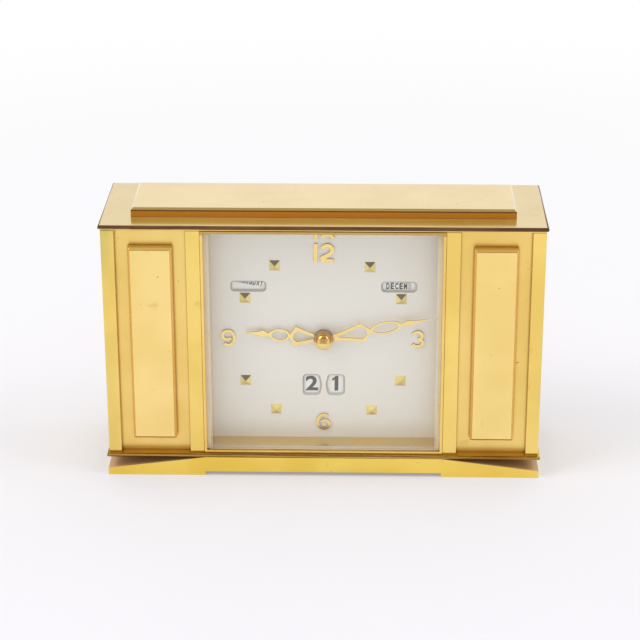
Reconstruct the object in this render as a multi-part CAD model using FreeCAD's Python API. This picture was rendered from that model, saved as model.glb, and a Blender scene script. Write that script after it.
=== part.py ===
import FreeCAD, Part
import math
import os

# Brass desk clock with calendar, free-standing, battery driven.
# Millimetres. X runs along the clock's width, Z up, Y from the front to the back.
# The origin is on the surface it stands on, under the middle of the roof plate.
# In this file each depth is counted backwards from the front edge of the roof plate.
# The helpers below shift depths so that the middle of the roof plate lies at Y = 0.

# Case: plinth, plates and roof
case_width = 216.0
case_depth = 66.0
plinth_height = 9.9
plinth_side_inset = 0.4
plinth_front_inset = 0.5
plinth_arch_width = 117.6
plinth_arch_height = 2.0
plinth_end_height = 3.7
plinth_wall = 2.5
base_plate_thickness = 2.0
body_height = 118.4
roof_plate_thickness = 2.1
roof_panel_width = 186.5
roof_panel_depth = 39.9
roof_panel_height = 4.6
roof_panel_chamfer = 1.1

# Case: body sheets and front trim
body_side_inset = 1.0
body_front_inset = 2.2
sheet = 1.5
trim_thickness = 3.0
cornice_height = 1.2
outer_stile_width = 6.3
inner_stile_width = 7.0
raised_panel_thickness = 4.9
raised_panel_side_share = 0.19
raised_panel_end_margin = 8.2
raised_panel_chamfer = 1.1
side_flange_width = 8.0
side_wall_back_inset = 2.5

# Window: bezel, glass and the well round the dial
bezel_width = 118.6
bezel_rim = 1.4
bezel_stand = 0.5
bezel_lip_depth = 1.0
bezel_rebate = 0.8
crystal_thickness = 3.0
crystal_play = 0.1
crystal_bevel_width = 3.1
crystal_bevel_depth = 2.0
crystal_corner_radius = 2.0
crystal_face_radius = 0.6
surround_sheet = 0.8
surround_side_margin = 2.5
surround_depth = 13.5
surround_flange = 10.5

# Dial
dial_thickness = 1.0
dial_centre_height = 68.1
hour_ring_margin = 9.5
marker_side = 5.4
marker_height = 1.5
numeral_thickness = 0.8
numeral_stroke = 1.8
numeral_height = 9.7
curl_stroke = 1.5
curl_height = 9.1
word_window_width = 17.8
word_window_height = 5.8
word_window_offset_x = 37.1
word_window_offset_z = 26.75
date_window_width = 9.7
date_window_height = 11.5
date_window_gap = 1.9
date_window_drop = 25.9
date_window_bulge = 0.65
window_chamfer = 0.8
window_corner_radius = 1.2
dial_hole_radius = 3.0

# Calendar discs, one on its own arbor for the day, month, tens and units
disc_radius = 23.6
disc_thickness = 0.6
disc_gap = 0.4
disc_offset_x = 24.5
disc_hub_radius = 5.0
disc_hub_height = 1.6
calendar_arbor_radius = 1.5
collar_radius = 4.0
collar_thickness = 3.0
axial_play = 0.1
running_clearance = 0.05
hole_clearance = 0.5

# Plate that carries the calendar and the movement, and what clamps it
mounting_gap = 3.0
mounting_thickness = 1.5
stack_spacer_radius = 2.2
stack_screw_radius = 1.0
stack_screw_head_radius = 2.0
stack_screw_head_height = 1.2
stack_end_margin = 7.5

# Motion work and hands
centre_arbor_radius = 0.9
cannon_pipe_radius = 1.5
hour_pipe_radius = 2.4
pipe_clearance = 0.06
hand_thickness = 0.6
dial_to_hour_hand = 1.8
hand_gap = 1.0
hand_boss = 0.3
nut_radius = 4.9
nut_side = 0.8
nut_dome = 4.7
hour_hand_angle = 274.6
minute_hand_angle = 77.6
minute_hand_margin = 1.2
motion_wheel_thickness = 1.0
motion_distance = 12.0
cannon_teeth = 12
minute_wheel_teeth = 36
minute_pinion_teeth = 10
hour_wheel_teeth = 40
minute_stud_radius = 0.8

# Movement frame and train
movement_gap = 3.5
movement_plate_thickness = 1.2
movement_plate_width = 40.0
movement_below = 25.0
movement_above = 27.0
movement_pillar_length = 13.0
movement_pillar_radius = 2.0
movement_pillar_inset = 3.0
pivot_radius = 0.6
centre_wheel_teeth = 60
third_pinion_teeth = 10
train_module = 0.4
third_wheel_teeth = 48
index_pinion_teeth = 8
fine_module = 0.35
third_bearing = 235.15
index_bearing = 330.0
train_wheel_thickness = 0.8
train_pinion_length = 2.2
centre_wheel_gap = 1.6
third_wheel_gap = 5.8
index_wheel_gap = 10.0
index_teeth = 15
index_radius = 3.6

# Balance, its spring and the drive coil
balance_bearing = 10.0
balance_distance = 9.0
balance_radius = 7.4
balance_rim = 1.6
balance_thickness = 1.5
balance_gap = 7.6
balance_spoke = 1.4
roller_radius = 2.0
pawl_reach = 4.6
pawl_width = 0.8
spring_inner_radius = 1.6
spring_turns = 3.0
spring_pitch = 1.1
spring_strip = 0.3
coil_bearing = 92.0
coil_distance = 14.4
coil_radius = 4.8
coil_core_radius = 2.0
coil_length = 7.6
coil_cheek = 0.8

# Circuit board behind the movement
board_width = 32.0
board_height = 12.0
board_thickness = 1.2
board_standoff = 1.6
board_top_margin = 1.0
board_can_radius = 2.6
board_can_height = 2.8
board_pad_length = 9.0
board_pad_height = 2.4

# Rear cover, knobs and battery
cover_back_inset = 8.5
cover_play = 0.2
cover_screw_radius = 1.25
cover_screw_head_radius = 2.5
cover_screw_head_height = 1.2
cover_screw_length = 5.0
cover_screw_end_margin = 12.0
knob_gap = 0.7
knob_length = 6.5
knob_radius = 6.0
hands_knob_radius = 7.5
knob_grooves = 24
knob_groove_depth = 0.4
knob_wall = 1.6
cell_radius = 13.1
cell_length = 48.5
cell_nub_radius = 3.3
cell_nub_height = 1.5
cell_play = 0.5
holder_wall = 1.5
holder_flange = 3.0
holder_side_margin = 28.0
holder_centre_z = 68.0
contact_space = 2.0
contact_sheet = 0.4
contact_width = 8.0
door_thickness = 1.3
door_gap = 0.1
door_overlap = 3.0
door_lift_height = 1.6
door_knuckle_radius = 2.0
door_pin_radius = 0.8
door_knuckle_play = 0.3
door_side_knuckle = 6.0
wire_radius = 0.5
wire_turn_radius = 6.0
lead_clearance = 0.8
lead_spacing = 5.0
lead_bend_gap = 11.0

# Posts and screws that hold the case together
post_radius = 3.0
front_post_margin = 4.1
front_post_depth = 17.5
rear_post_margin = 22.0
plinth_screw_x = 45.0
case_screw_radius = 1.25
case_screw_head_radius = 2.5
case_screw_head_height = 1.6
case_screw_length = 8.0
head_clearance = 0.4

# Heights that follow from the stack of plates
base_z = plinth_height
body_z = base_z + base_plate_thickness
roof_z = body_z + body_height
panel_z = roof_z + roof_plate_thickness
body_half = case_width / 2 - body_side_inset
trim_top_z = roof_z - cornice_height

# Depths that follow from the stack behind the front
body_front = body_front_inset
field_front = body_front + trim_thickness
field_back = field_front + sheet
bezel_front = body_front - bezel_stand
crystal_front = bezel_front + bezel_lip_depth
crystal_back = crystal_front + crystal_thickness
dial_front = crystal_back + surround_depth
dial_back = dial_front + dial_thickness
flange_front = dial_front - surround_sheet
disc_front = dial_back + disc_gap
disc_back = disc_front + disc_thickness
mounting_front = dial_back + mounting_gap
mounting_back = mounting_front + mounting_thickness
front_plate_front = mounting_back + movement_gap
front_plate_back = front_plate_front + movement_plate_thickness
rear_plate_front = front_plate_back + movement_pillar_length
rear_plate_back = rear_plate_front + movement_plate_thickness
side_wall_back = case_depth - side_wall_back_inset
cover_back = case_depth - cover_back_inset
cover_front = cover_back - sheet
knob_front = cover_back + knob_gap
knob_back = knob_front + knob_length

# Widths in the front, from the window outwards
bezel_half = bezel_width / 2
surround_width = bezel_width - 2 * bezel_rim - 2 * surround_side_margin
inner_stile_edge = bezel_half + inner_stile_width
outer_stile_edge = body_half - outer_stile_width
side_wall_inner = body_half - sheet
flange_half = surround_width / 2 + surround_flange
surround_low_z = body_z + bezel_rim - bezel_rebate + crystal_play
surround_high_z = trim_top_z - bezel_rim + bezel_rebate - crystal_play
stack_screw_x = (surround_width / 2 + flange_half) / 2
raised_panel_side_margin = (outer_stile_edge - inner_stile_edge) * raised_panel_side_share
holder_centre_x = case_width / 2 - holder_side_margin
front_post_x = flange_half + front_post_margin
rear_post_x = holder_centre_x - rear_post_margin
rear_post_depth = case_depth - front_post_depth

# Reach of the dial, from its centre down to the well's lower side
well_low = surround_low_z + surround_sheet
well_high = surround_high_z - surround_sheet
dial_reach = dial_centre_height - well_low
hour_ring_radius = dial_reach - hour_ring_margin

centre = (0.0, dial_centre_height)


def block(x_low, x_high, depth_low, depth_high, z_low, z_high):
    """A rectangular block between two corners."""
    corner = FreeCAD.Vector(x_low, depth_low - case_depth / 2, z_low)
    return Part.makeBox(x_high - x_low, depth_high - depth_low, z_high - z_low, corner)


def rod(place, radius, depth_low, depth_high):
    """A round bar along Y through place, an (x, z) point."""
    base = FreeCAD.Vector(place[0], depth_low - case_depth / 2, place[1])
    return Part.makeCylinder(radius, depth_high - depth_low, base, FreeCAD.Vector(0, 1, 0))


def tube(place, outer_radius, inner_radius, depth_low, depth_high):
    """A round bar along Y with a bore through it."""
    outer = rod(place, outer_radius, depth_low, depth_high)
    return outer.cut(rod(place, inner_radius, depth_low, depth_high))


def upright(x, depth, radius, z_low, z_high):
    """A round bar along Z."""
    base = FreeCAD.Vector(x, depth - case_depth / 2, z_low)
    return Part.makeCylinder(radius, z_high - z_low, base)


def crossbar(depth, z, radius, x_low, x_high):
    """A round bar along X."""
    base = FreeCAD.Vector(x_low, depth - case_depth / 2, z)
    return Part.makeCylinder(radius, x_high - x_low, base, FreeCAD.Vector(1, 0, 0))


def at_depth(points, depth):
    """Turn (x, z) points into points in space at one depth."""
    return [FreeCAD.Vector(x, depth - case_depth / 2, z) for x, z in points]


def extruded(face, thickness):
    """Extend a face backwards along Y."""
    return face.extrude(FreeCAD.Vector(0, thickness, 0))


def prism(points, depth_low, depth_high):
    """A plate with straight edges through (x, z) points."""
    corners = at_depth(points, depth_low)
    wire = Part.makePolygon(corners + [corners[0]])
    return extruded(Part.Face(wire), depth_high - depth_low)


def polar(origin, radius, degrees):
    """The (x, z) point at a radius and an angle from +X towards +Z."""
    turn = math.radians(degrees)
    return (origin[0] + radius * math.cos(turn), origin[1] + radius * math.sin(turn))


def joined(shapes):
    """Fuse a list of touching shapes into one solid."""
    result = shapes[0]
    if len(shapes) > 1:
        result = shapes[0].fuse(shapes[1:])
    return result.removeSplitter()


def less(shape, tools):
    """Cut every shape in tools away."""
    return shape.cut(tools)


def ellipse_arc(origin, semi_x, semi_z, start, end, steps=12):
    """Points on an ellipse from one angle to another, both in degrees."""
    points = []
    for step in range(steps + 1):
        turn = math.radians(start + (end - start) * step / steps)
        points.append((origin[0] + semi_x * math.cos(turn), origin[1] + semi_z * math.sin(turn)))
    return points


def ribbon(points, width, depth_low, depth_high):
    """A strip of constant width whose middle follows the points in order."""
    left = []
    right = []
    last = len(points) - 1
    for index, (x, z) in enumerate(points):
        before = points[max(index - 1, 0)]
        after = points[min(index + 1, last)]
        run_x = after[0] - before[0]
        run_z = after[1] - before[1]
        length = math.hypot(run_x, run_z)
        shift_x = -run_z / length * width / 2
        shift_z = run_x / length * width / 2
        left.append((x + shift_x, z + shift_z))
        right.append((x - shift_x, z - shift_z))
    left = at_depth(left, depth_low)
    right = at_depth(right, depth_low)
    side_a = Part.BSplineCurve()
    side_a.interpolate(left)
    side_b = Part.BSplineCurve()
    side_b.interpolate(right)
    edges = [side_a.toShape(), Part.makeLine(left[-1], right[-1])]
    edges += [side_b.toShape(), Part.makeLine(right[0], left[0])]
    wire = Part.Wire(Part.__sortEdges__(edges))
    return extruded(Part.Face(wire), depth_high - depth_low)


def rounded_outline(x_low, x_high, z_low, z_high, radius, depth, bulge_side=0, bulge=0.0):
    """A closed outline with four rounded corners at one depth.

    The upright side on bulge_side, -1 or 1, is an arc that swells outwards by bulge.
    """
    corner_arcs = (
        ((x_high - radius, z_low + radius), 270.0),
        ((x_high - radius, z_high - radius), 0.0),
        ((x_low + radius, z_high - radius), 90.0),
        ((x_low + radius, z_low + radius), 180.0),
    )
    arcs = []
    for origin, start in corner_arcs:
        arcs.append(at_depth([polar(origin, radius, start + half * 45.0) for half in range(3)], depth))
    edges = []
    for index in range(4):
        first, middle, last = arcs[index]
        following = arcs[(index + 1) % 4][0]
        edges.append(Part.Arc(first, middle, last).toShape())
        if (bulge_side, index) in ((1, 0), (-1, 2)):
            swell = (last + following) * 0.5 + FreeCAD.Vector(bulge_side * bulge, 0, 0)
            edges.append(Part.Arc(last, swell, following).toShape())
        else:
            edges.append(Part.makeLine(last, following))
    return Part.Wire(edges)


def gear(place, teeth, module, depth_low, depth_high, phase, bore):
    """A toothed wheel. A tooth stands at the angle phase, in degrees.

    Each tooth is a straight-sided wedge, 0.8 of a module above the pitch circle and
    1.1 below it. It is thinner than its gap, so that a meshed pair never touches.
    """
    pitch_radius = teeth * module / 2
    tip_radius = pitch_radius + 0.8 * module
    root_radius = pitch_radius - 1.1 * module
    pitch_angle = 360.0 / teeth
    points = []
    for tooth in range(teeth):
        middle = phase + tooth * pitch_angle
        points.append(polar(place, root_radius, middle - 0.26 * pitch_angle))
        points.append(polar(place, tip_radius, middle - 0.10 * pitch_angle))
        points.append(polar(place, tip_radius, middle + 0.10 * pitch_angle))
        points.append(polar(place, root_radius, middle + 0.26 * pitch_angle))
    wheel = prism(points, depth_low, depth_high)
    return less(wheel, [rod(place, bore, depth_low, depth_high)])


def turned(shape, place, degrees):
    """Turn a shape about the Y line through place, clockwise as seen from the front."""
    turned_shape = shape.copy()
    pivot = FreeCAD.Vector(place[0], 0, place[1])
    turned_shape.rotate(pivot, FreeCAD.Vector(0, 1, 0), degrees)
    return turned_shape


def save(name, shape):
    """Write one sub-part."""
    shape.exportStep("parts/" + name + ".step")


def save_group(name, solids):
    """Write separate pieces of one kind as one sub-part."""
    save(name, Part.makeCompound(solids))


os.makedirs("parts", exist_ok=True)


# Places of the case's posts and screws

post_places = []
plinth_screw_places = []
for side in (-1, 1):
    post_places.append((side * front_post_x, front_post_depth))
    post_places.append((side * rear_post_x, rear_post_depth))
    plinth_screw_places.append((side * plinth_screw_x, front_post_depth))
    plinth_screw_places.append((side * plinth_screw_x, rear_post_depth))

# Plinth: a hollow brass foot with an arch under its middle and ends that slope down

def plinth_outline(inset):
    """The plinth's front outline, drawn inwards by inset on the top and the ends."""
    half = case_width / 2 - plinth_side_inset - inset
    arch_half = plinth_arch_width / 2
    return [
        (-half, 0.0),
        (-half, plinth_end_height - inset),
        (-arch_half, plinth_height - inset),
        (arch_half, plinth_height - inset),
        (half, plinth_end_height - inset),
        (half, 0.0),
    ]


plinth_front = plinth_front_inset
plinth_back = case_depth - plinth_front_inset
plinth = prism(plinth_outline(0.0), plinth_front, plinth_back)
arch_half = plinth_arch_width / 2
cuts = [
    prism(plinth_outline(plinth_wall), plinth_front + plinth_wall, plinth_back - plinth_wall),
    block(-arch_half, arch_half, plinth_front, plinth_back, 0.0, plinth_arch_height),
]
for x, depth in post_places:
    cuts.append(upright(x, depth, case_screw_head_radius + head_clearance, 0.0, plinth_height))
for x, depth in plinth_screw_places:
    cuts.append(upright(x, depth, case_screw_radius, 0.0, plinth_height))
save("plinth", less(plinth, cuts))

# Base plate

screw_holes = []
for x, depth in post_places + plinth_screw_places:
    screw_holes.append(upright(x, depth, case_screw_radius, base_z, body_z))
base_plate = block(-case_width / 2, case_width / 2, 0.0, case_depth, base_z, body_z)
save("base_plate", less(base_plate, screw_holes))

# Roof plate and the raised panel on it

screw_holes = []
for x, depth in post_places:
    screw_holes.append(upright(x, depth, case_screw_radius, roof_z, panel_z))
roof_plate = block(-case_width / 2, case_width / 2, 0.0, case_depth, roof_z, panel_z)
save("roof_plate", less(roof_plate, screw_holes))

panel_half = roof_panel_width / 2
panel_front = (case_depth - roof_panel_depth) / 2
panel_back = panel_front + roof_panel_depth
panel_top = panel_z + roof_panel_height
roof_panel = block(-panel_half, panel_half, panel_front, panel_back, panel_z, panel_top)
top_edges = [edge for edge in roof_panel.Edges if edge.BoundBox.ZMin > panel_top - 0.01]
roof_panel = roof_panel.makeChamfer(roof_panel_chamfer, top_edges)
pockets = []
for x, depth in post_places:
    pocket_top = panel_z + case_screw_head_height + head_clearance
    pockets.append(upright(x, depth, case_screw_head_radius + head_clearance, panel_z, pocket_top))
save("roof_panel", less(roof_panel, pockets))

# Corner posts between the base plate and the roof plate

thread_depth = case_screw_length - base_plate_thickness
top_thread_depth = case_screw_length - roof_plate_thickness
posts = []
for x, depth in post_places:
    post = upright(x, depth, post_radius, body_z, roof_z)
    holes = [
        upright(x, depth, case_screw_radius, body_z, body_z + thread_depth),
        upright(x, depth, case_screw_radius, roof_z - top_thread_depth, roof_z),
    ]
    posts.append(less(post, holes))
save_group("corner_posts", posts)

# Case screws: up through the base plate, down through the roof plate, up through the plinth

def case_screw(x, depth, seat_z, length, upward):
    """A round-headed screw whose head rests on seat_z and whose shank points up or down."""
    if upward:
        head = upright(x, depth, case_screw_head_radius, seat_z - case_screw_head_height, seat_z)
        shank = upright(x, depth, case_screw_radius, seat_z, seat_z + length)
    else:
        head = upright(x, depth, case_screw_head_radius, seat_z, seat_z + case_screw_head_height)
        shank = upright(x, depth, case_screw_radius, seat_z - length, seat_z)
    return joined([head, shank])


screws = []
for x, depth in post_places:
    screws.append(case_screw(x, depth, base_z, case_screw_length, True))
    screws.append(case_screw(x, depth, panel_z, case_screw_length, False))
plinth_seat_z = plinth_height - plinth_wall
plinth_screw_length = plinth_wall + base_plate_thickness
for x, depth in plinth_screw_places:
    screws.append(case_screw(x, depth, plinth_seat_z, plinth_screw_length, True))
save_group("case_screws", screws)

# Side walls, folded inwards at the back to take the rear cover's screws

cover_screw_places = []
for side in (-1, 1):
    cover_screw_x = side * (side_wall_inner - side_flange_width / 2)
    cover_screw_places.append((cover_screw_x, body_z + cover_screw_end_margin))
    cover_screw_places.append((cover_screw_x, roof_z - cover_screw_end_margin))

for side, name in ((-1, "side_wall_left"), (1, "side_wall_right")):
    edges_x = sorted((side * side_wall_inner, side * body_half))
    wall = block(edges_x[0], edges_x[1], field_front, side_wall_back, body_z, roof_z)
    edges_x = sorted((side * (side_wall_inner - side_flange_width), side * side_wall_inner))
    flange = block(edges_x[0], edges_x[1], cover_front - sheet, cover_front, body_z, roof_z)
    holes = []
    for place in cover_screw_places:
        holes.append(rod(place, cover_screw_radius, cover_front - sheet, cover_front))
    save(name, less(joined([wall, flange]), holes))

# Screws that clamp the surround, dial and mounting plate to the front

stack_places = []
for side in (-1, 1):
    for z in (
        surround_low_z + stack_end_margin,
        (surround_low_z + surround_high_z) / 2,
        surround_high_z - stack_end_margin,
    ):
        stack_places.append((side * stack_screw_x, z))

# Recessed field sheets either side of the window

for side, name in ((-1, "field_panel_left"), (1, "field_panel_right")):
    edges_x = sorted((side * bezel_half, side * side_wall_inner))
    field = block(edges_x[0], edges_x[1], field_front, field_back, body_z, roof_z)
    holes = [rod(place, stack_screw_radius, field_front, field_back) for place in stack_places]
    save(name, less(field, holes))

# Front trim: four upright strips and the cornice strip under the roof

trim = [block(-body_half, body_half, body_front, field_front, trim_top_z, roof_z)]
for side in (-1, 1):
    for near, far in ((bezel_half, inner_stile_edge), (outer_stile_edge, body_half)):
        edges_x = sorted((side * near, side * far))
        trim.append(block(edges_x[0], edges_x[1], body_front, field_front, body_z, trim_top_z))
save_group("front_trim", trim)

# Raised panels in the middle of each recessed field

panels = []
for side in (-1, 1):
    near = inner_stile_edge + raised_panel_side_margin
    far = outer_stile_edge - raised_panel_side_margin
    edges_x = sorted((side * near, side * far))
    low = body_z + raised_panel_end_margin
    high = trim_top_z - raised_panel_end_margin
    front = field_front - raised_panel_thickness
    panel = block(edges_x[0], edges_x[1], front, field_front, low, high)
    front_y = front - case_depth / 2
    front_edges = [edge for edge in panel.Edges if edge.BoundBox.YMax < front_y + 0.01]
    panels.append(panel.makeChamfer(raised_panel_chamfer, front_edges))
save_group("raised_panels", panels)

# Bezel round the window, with a lip in front of the glass

bezel = block(-bezel_half, bezel_half, bezel_front, field_back, body_z, trim_top_z)
opening_half = bezel_half - bezel_rim
opening = block(
    -opening_half, opening_half, bezel_front, field_back, body_z + bezel_rim, trim_top_z - bezel_rim
)
rebate_half = opening_half + bezel_rebate
rebate_low = body_z + bezel_rim - bezel_rebate
rebate_high = trim_top_z - bezel_rim + bezel_rebate
rebate = block(-rebate_half, rebate_half, crystal_front, field_back, rebate_low, rebate_high)
save("bezel", less(bezel, [opening, rebate]))

# Crystal: thick flat glass with a bevel all round its front edge

crystal_half = rebate_half - crystal_play
crystal_low = rebate_low + crystal_play
crystal_high = rebate_high - crystal_play
bevel_back = crystal_front + crystal_bevel_depth
face_outline = rounded_outline(
    crystal_bevel_width - crystal_half, crystal_half - crystal_bevel_width,
    crystal_low + crystal_bevel_width, crystal_high - crystal_bevel_width,
    crystal_face_radius, crystal_front,
)
edge_outline = rounded_outline(
    -crystal_half, crystal_half, crystal_low, crystal_high, crystal_corner_radius, bevel_back
)
bevel = Part.makeLoft([face_outline, edge_outline], True, True)
crystal = bevel.fuse(extruded(Part.Face(edge_outline), crystal_back - bevel_back))
save("crystal", crystal)

# Dial surround: the sheet well between the glass and the dial, with a flange each side against
# the dial and a lip each side under the glass

inner_half = surround_width / 2
lip_half = crystal_half - crystal_play
surround = joined([
    block(
        -inner_half - surround_sheet, inner_half + surround_sheet,
        crystal_back, dial_front, surround_low_z, surround_high_z
    ),
    block(-flange_half, flange_half, flange_front, dial_front, surround_low_z, surround_high_z),
    block(-lip_half, lip_half, crystal_back, crystal_back + surround_sheet, surround_low_z, surround_high_z),
])
cuts = [block(-inner_half, inner_half, crystal_back, dial_front, well_low, well_high)]
for place in stack_places:
    cuts.append(rod(place, stack_screw_radius, flange_front, dial_front))
save("dial_surround", less(surround, cuts))

# Dial plate with its two word windows and two date windows

def window_cutter(x_low, x_high, z_low, z_high, bulge_side=0):
    """A window through the dial, chamfered so that it is wider at the dial's face."""
    chamfer = window_chamfer
    wide = rounded_outline(
        x_low, x_high, z_low, z_high, window_corner_radius + chamfer, dial_front,
        bulge_side, date_window_bulge,
    )
    narrow = [x_low + chamfer, x_high - chamfer, z_low + chamfer, z_high - chamfer]
    throat = rounded_outline(
        *narrow, window_corner_radius, dial_front + chamfer, bulge_side, date_window_bulge
    )
    funnel = Part.makeLoft([wide, throat], True, True)
    return funnel.fuse(extruded(Part.Face(throat), dial_thickness - chamfer))


word_window_z = dial_centre_height + word_window_offset_z
date_window_z = dial_centre_height - date_window_drop
cuts = []
for side in (-1, 1):
    middle = side * word_window_offset_x
    cuts.append(window_cutter(
        middle - word_window_width / 2,
        middle + word_window_width / 2,
        word_window_z - word_window_height / 2,
        word_window_z + word_window_height / 2,
    ))
    near = side * (date_window_gap / 2 + date_window_bulge)
    far = side * (date_window_gap / 2 + date_window_width)
    cuts.append(window_cutter(
        min(near, far),
        max(near, far),
        date_window_z - date_window_height / 2,
        date_window_z + date_window_height / 2,
        -side,
    ))
dial = block(-flange_half, flange_half, dial_front, dial_back, surround_low_z, surround_high_z)
cuts.append(rod(centre, dial_hole_radius, dial_front, dial_back))
for place in stack_places:
    cuts.append(rod(place, stack_screw_radius, dial_front, dial_back))
save("dial_plate", less(dial, cuts))

# Numerals: flat brass figures laid on the dial at 12, 3, 6 and 9

numeral_front = dial_front - numeral_thickness
half_height = (numeral_height - numeral_stroke) / 2
curl_half = (curl_height - curl_stroke) / 2


def dial_place(across, along):
    """The (x, z) point on the dial at these shares of the hour ring's radius from its centre."""
    return (centre[0] + across * hour_ring_radius, centre[1] + along * hour_ring_radius)


def six(origin):
    """An open six: a tall curve that runs into a lower bowl and curls in to its middle."""
    x, z = origin
    bowl = curl_half * 0.66
    points = ellipse_arc((x, z), curl_half * 0.8, curl_half, 50.0, 270.0, 14)
    curl_steps = 16
    for step in range(1, curl_steps + 1):
        share = step / curl_steps
        angle = math.radians(270.0 + 225.0 * share)
        reach = bowl * (1.0 - 0.45 * share ** 3)
        across = x + reach * 1.16 * math.cos(angle)
        points.append((across, z - curl_half + bowl + reach * math.sin(angle)))
    return ribbon(points, curl_stroke, numeral_front, dial_front)


def three(origin):
    """Two open bowls that meet at the middle."""
    x, z = origin
    bowl = curl_half / 2
    upper = ellipse_arc((x, z + bowl), bowl * 1.2, bowl, 155.0, -90.0)
    lower = ellipse_arc((x, z - bowl), bowl * 1.35, bowl, 90.0, -160.0)
    return joined([
        ribbon(upper, curl_stroke, numeral_front, dial_front),
        ribbon(lower, curl_stroke, numeral_front, dial_front),
    ])


def two(origin):
    """A round top that runs down to a flat foot."""
    x, z = origin
    bowl = half_height * 0.58
    foot_z = z - half_height
    top = ellipse_arc((x, z + half_height - bowl), bowl * 1.08, bowl, 165.0, -38.0)
    neck = ribbon(top + [(x - bowl * 1.08, foot_z)], numeral_stroke, numeral_front, dial_front)
    foot_half = numeral_stroke / 2
    foot = block(
        x - bowl * 1.4, x + bowl * 1.35, numeral_front, dial_front, foot_z - foot_half, foot_z + foot_half
    )
    return joined([neck, foot])


def one(origin):
    """A plain upright bar."""
    x, z = origin
    stroke_half = numeral_stroke / 2
    half = numeral_height / 2
    return block(x - stroke_half, x + stroke_half, numeral_front, dial_front, z - half, z + half)


twelve = dial_place(0.0, 0.985)
nine_centre = dial_place(-1.05, -0.015)
numerals = [
    one((twelve[0] - 0.4 * numeral_height, twelve[1])),
    two((twelve[0] + 0.18 * numeral_height, twelve[1])),
    three(dial_place(1.03, -0.015)),
    six(dial_place(0.0, -1.015)),
    turned(six(nine_centre), nine_centre, 180.0),
]
save_group("numerals", numerals)

# Hour markers: small square pyramids at the other eight hours, each set by hand at its own place

marker_shares = [
    (0.502, 0.822), (0.845, 0.452), (0.845, -0.517), (0.531, -0.873),
    (-0.529, -0.867), (-0.863, -0.522), (-0.858, 0.456), (-0.533, 0.835),
]
markers = []
for across, along in marker_shares:
    place = dial_place(across, along)
    half = marker_side / 2
    base_points = [
        (place[0] - half, place[1] - half),
        (place[0] + half, place[1] - half),
        (place[0] + half, place[1] + half),
        (place[0] - half, place[1] + half),
    ]
    base = at_depth(base_points, dial_front)
    apex = at_depth([place], dial_front - marker_height)[0]
    faces = [Part.Face(Part.makePolygon(base + [base[0]]))]
    for index in range(4):
        following = base[(index + 1) % 4]
        faces.append(Part.Face(Part.makePolygon([base[index], following, apex, base[index]])))
    markers.append(Part.makeSolid(Part.makeShell(faces)))
save_group("hour_markers", markers)

# Mounting plate with the bearings of the calendar arbors, and the spacers and screws of the stack

calendar_places = {
    "day": (-disc_offset_x, word_window_z),
    "month": (disc_offset_x, word_window_z),
    "date_tens": (-disc_offset_x, date_window_z),
    "date_units": (disc_offset_x, date_window_z),
}
movement_screw_places = []
movement_half = movement_plate_width / 2
movement_low = dial_centre_height - movement_below
movement_high = dial_centre_height + movement_above
for side in (-1, 1):
    pillar_x = side * (movement_half - movement_pillar_inset)
    movement_screw_places.append((pillar_x, movement_low + movement_pillar_inset))
    movement_screw_places.append((pillar_x, movement_high - movement_pillar_inset))

mounting = block(
    -flange_half, flange_half, mounting_front, mounting_back, surround_low_z, surround_high_z
)
cuts = [rod(centre, dial_hole_radius, mounting_front, mounting_back)]
for place in calendar_places.values():
    bearing = calendar_arbor_radius + running_clearance
    cuts.append(rod(place, bearing, mounting_front, mounting_back))
for place in stack_places + movement_screw_places:
    cuts.append(rod(place, stack_screw_radius, mounting_front, mounting_back))
save("mounting_plate", less(mounting, cuts))

spacers = []
for place in stack_places:
    spacers.append(tube(place, stack_spacer_radius, stack_screw_radius, field_back, flange_front))
    spacers.append(tube(place, stack_spacer_radius, stack_screw_radius, dial_back, mounting_front))
save_group("stack_spacers", spacers)


def rear_screw(place, tip_depth, seat_depth):
    """A screw put in from the back, whose head rests on seat_depth."""
    head_back = seat_depth + stack_screw_head_height
    head = rod(place, stack_screw_head_radius, seat_depth, head_back)
    shank = rod(place, stack_screw_radius, tip_depth, seat_depth)
    return joined([head, shank])


save_group("stack_screws", [rear_screw(place, field_front, mounting_back) for place in stack_places])

# Calendar: each disc sits on the front end of an arbor that carries a setting knob at the back

def knurled_knob(place, radius, depth_low, depth_high, bore_radius, bore_end):
    """A round knob with straight grooves and a blind bore for its arbor."""
    points = []
    for groove in range(knob_grooves):
        middle = groove * 360.0 / knob_grooves
        quarter = 90.0 / knob_grooves
        points.append(polar(place, radius, middle - quarter))
        points.append(polar(place, radius, middle + quarter))
        points.append(polar(place, radius - knob_groove_depth, middle + 1.6 * quarter))
        points.append(polar(place, radius - knob_groove_depth, middle + 2.4 * quarter))
    knob = prism(points, depth_low, depth_high)
    return less(knob, [rod(place, bore_radius, depth_low, bore_end)])


arbor_end = knob_back - knob_wall
for name, place in calendar_places.items():
    hub_back = disc_back + disc_hub_height
    disc = joined([
        rod(place, disc_radius, disc_front, disc_back),
        rod(place, disc_hub_radius, disc_back, hub_back),
    ])
    save(name + "_disc", less(disc, [rod(place, calendar_arbor_radius, disc_back, hub_back)]))
    collar_front = mounting_back + axial_play
    arbor = joined([
        rod(place, calendar_arbor_radius, disc_back, arbor_end),
        rod(place, collar_radius, collar_front, collar_front + collar_thickness),
    ])
    save(name + "_arbor", arbor)
    knob = knurled_knob(
        place, knob_radius, knob_front, knob_back, calendar_arbor_radius, arbor_end
    )
    save(name + "_knob", knob)

# Hands: flat pierced brass, drawn pointing up at 12 and then turned to the time

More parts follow.
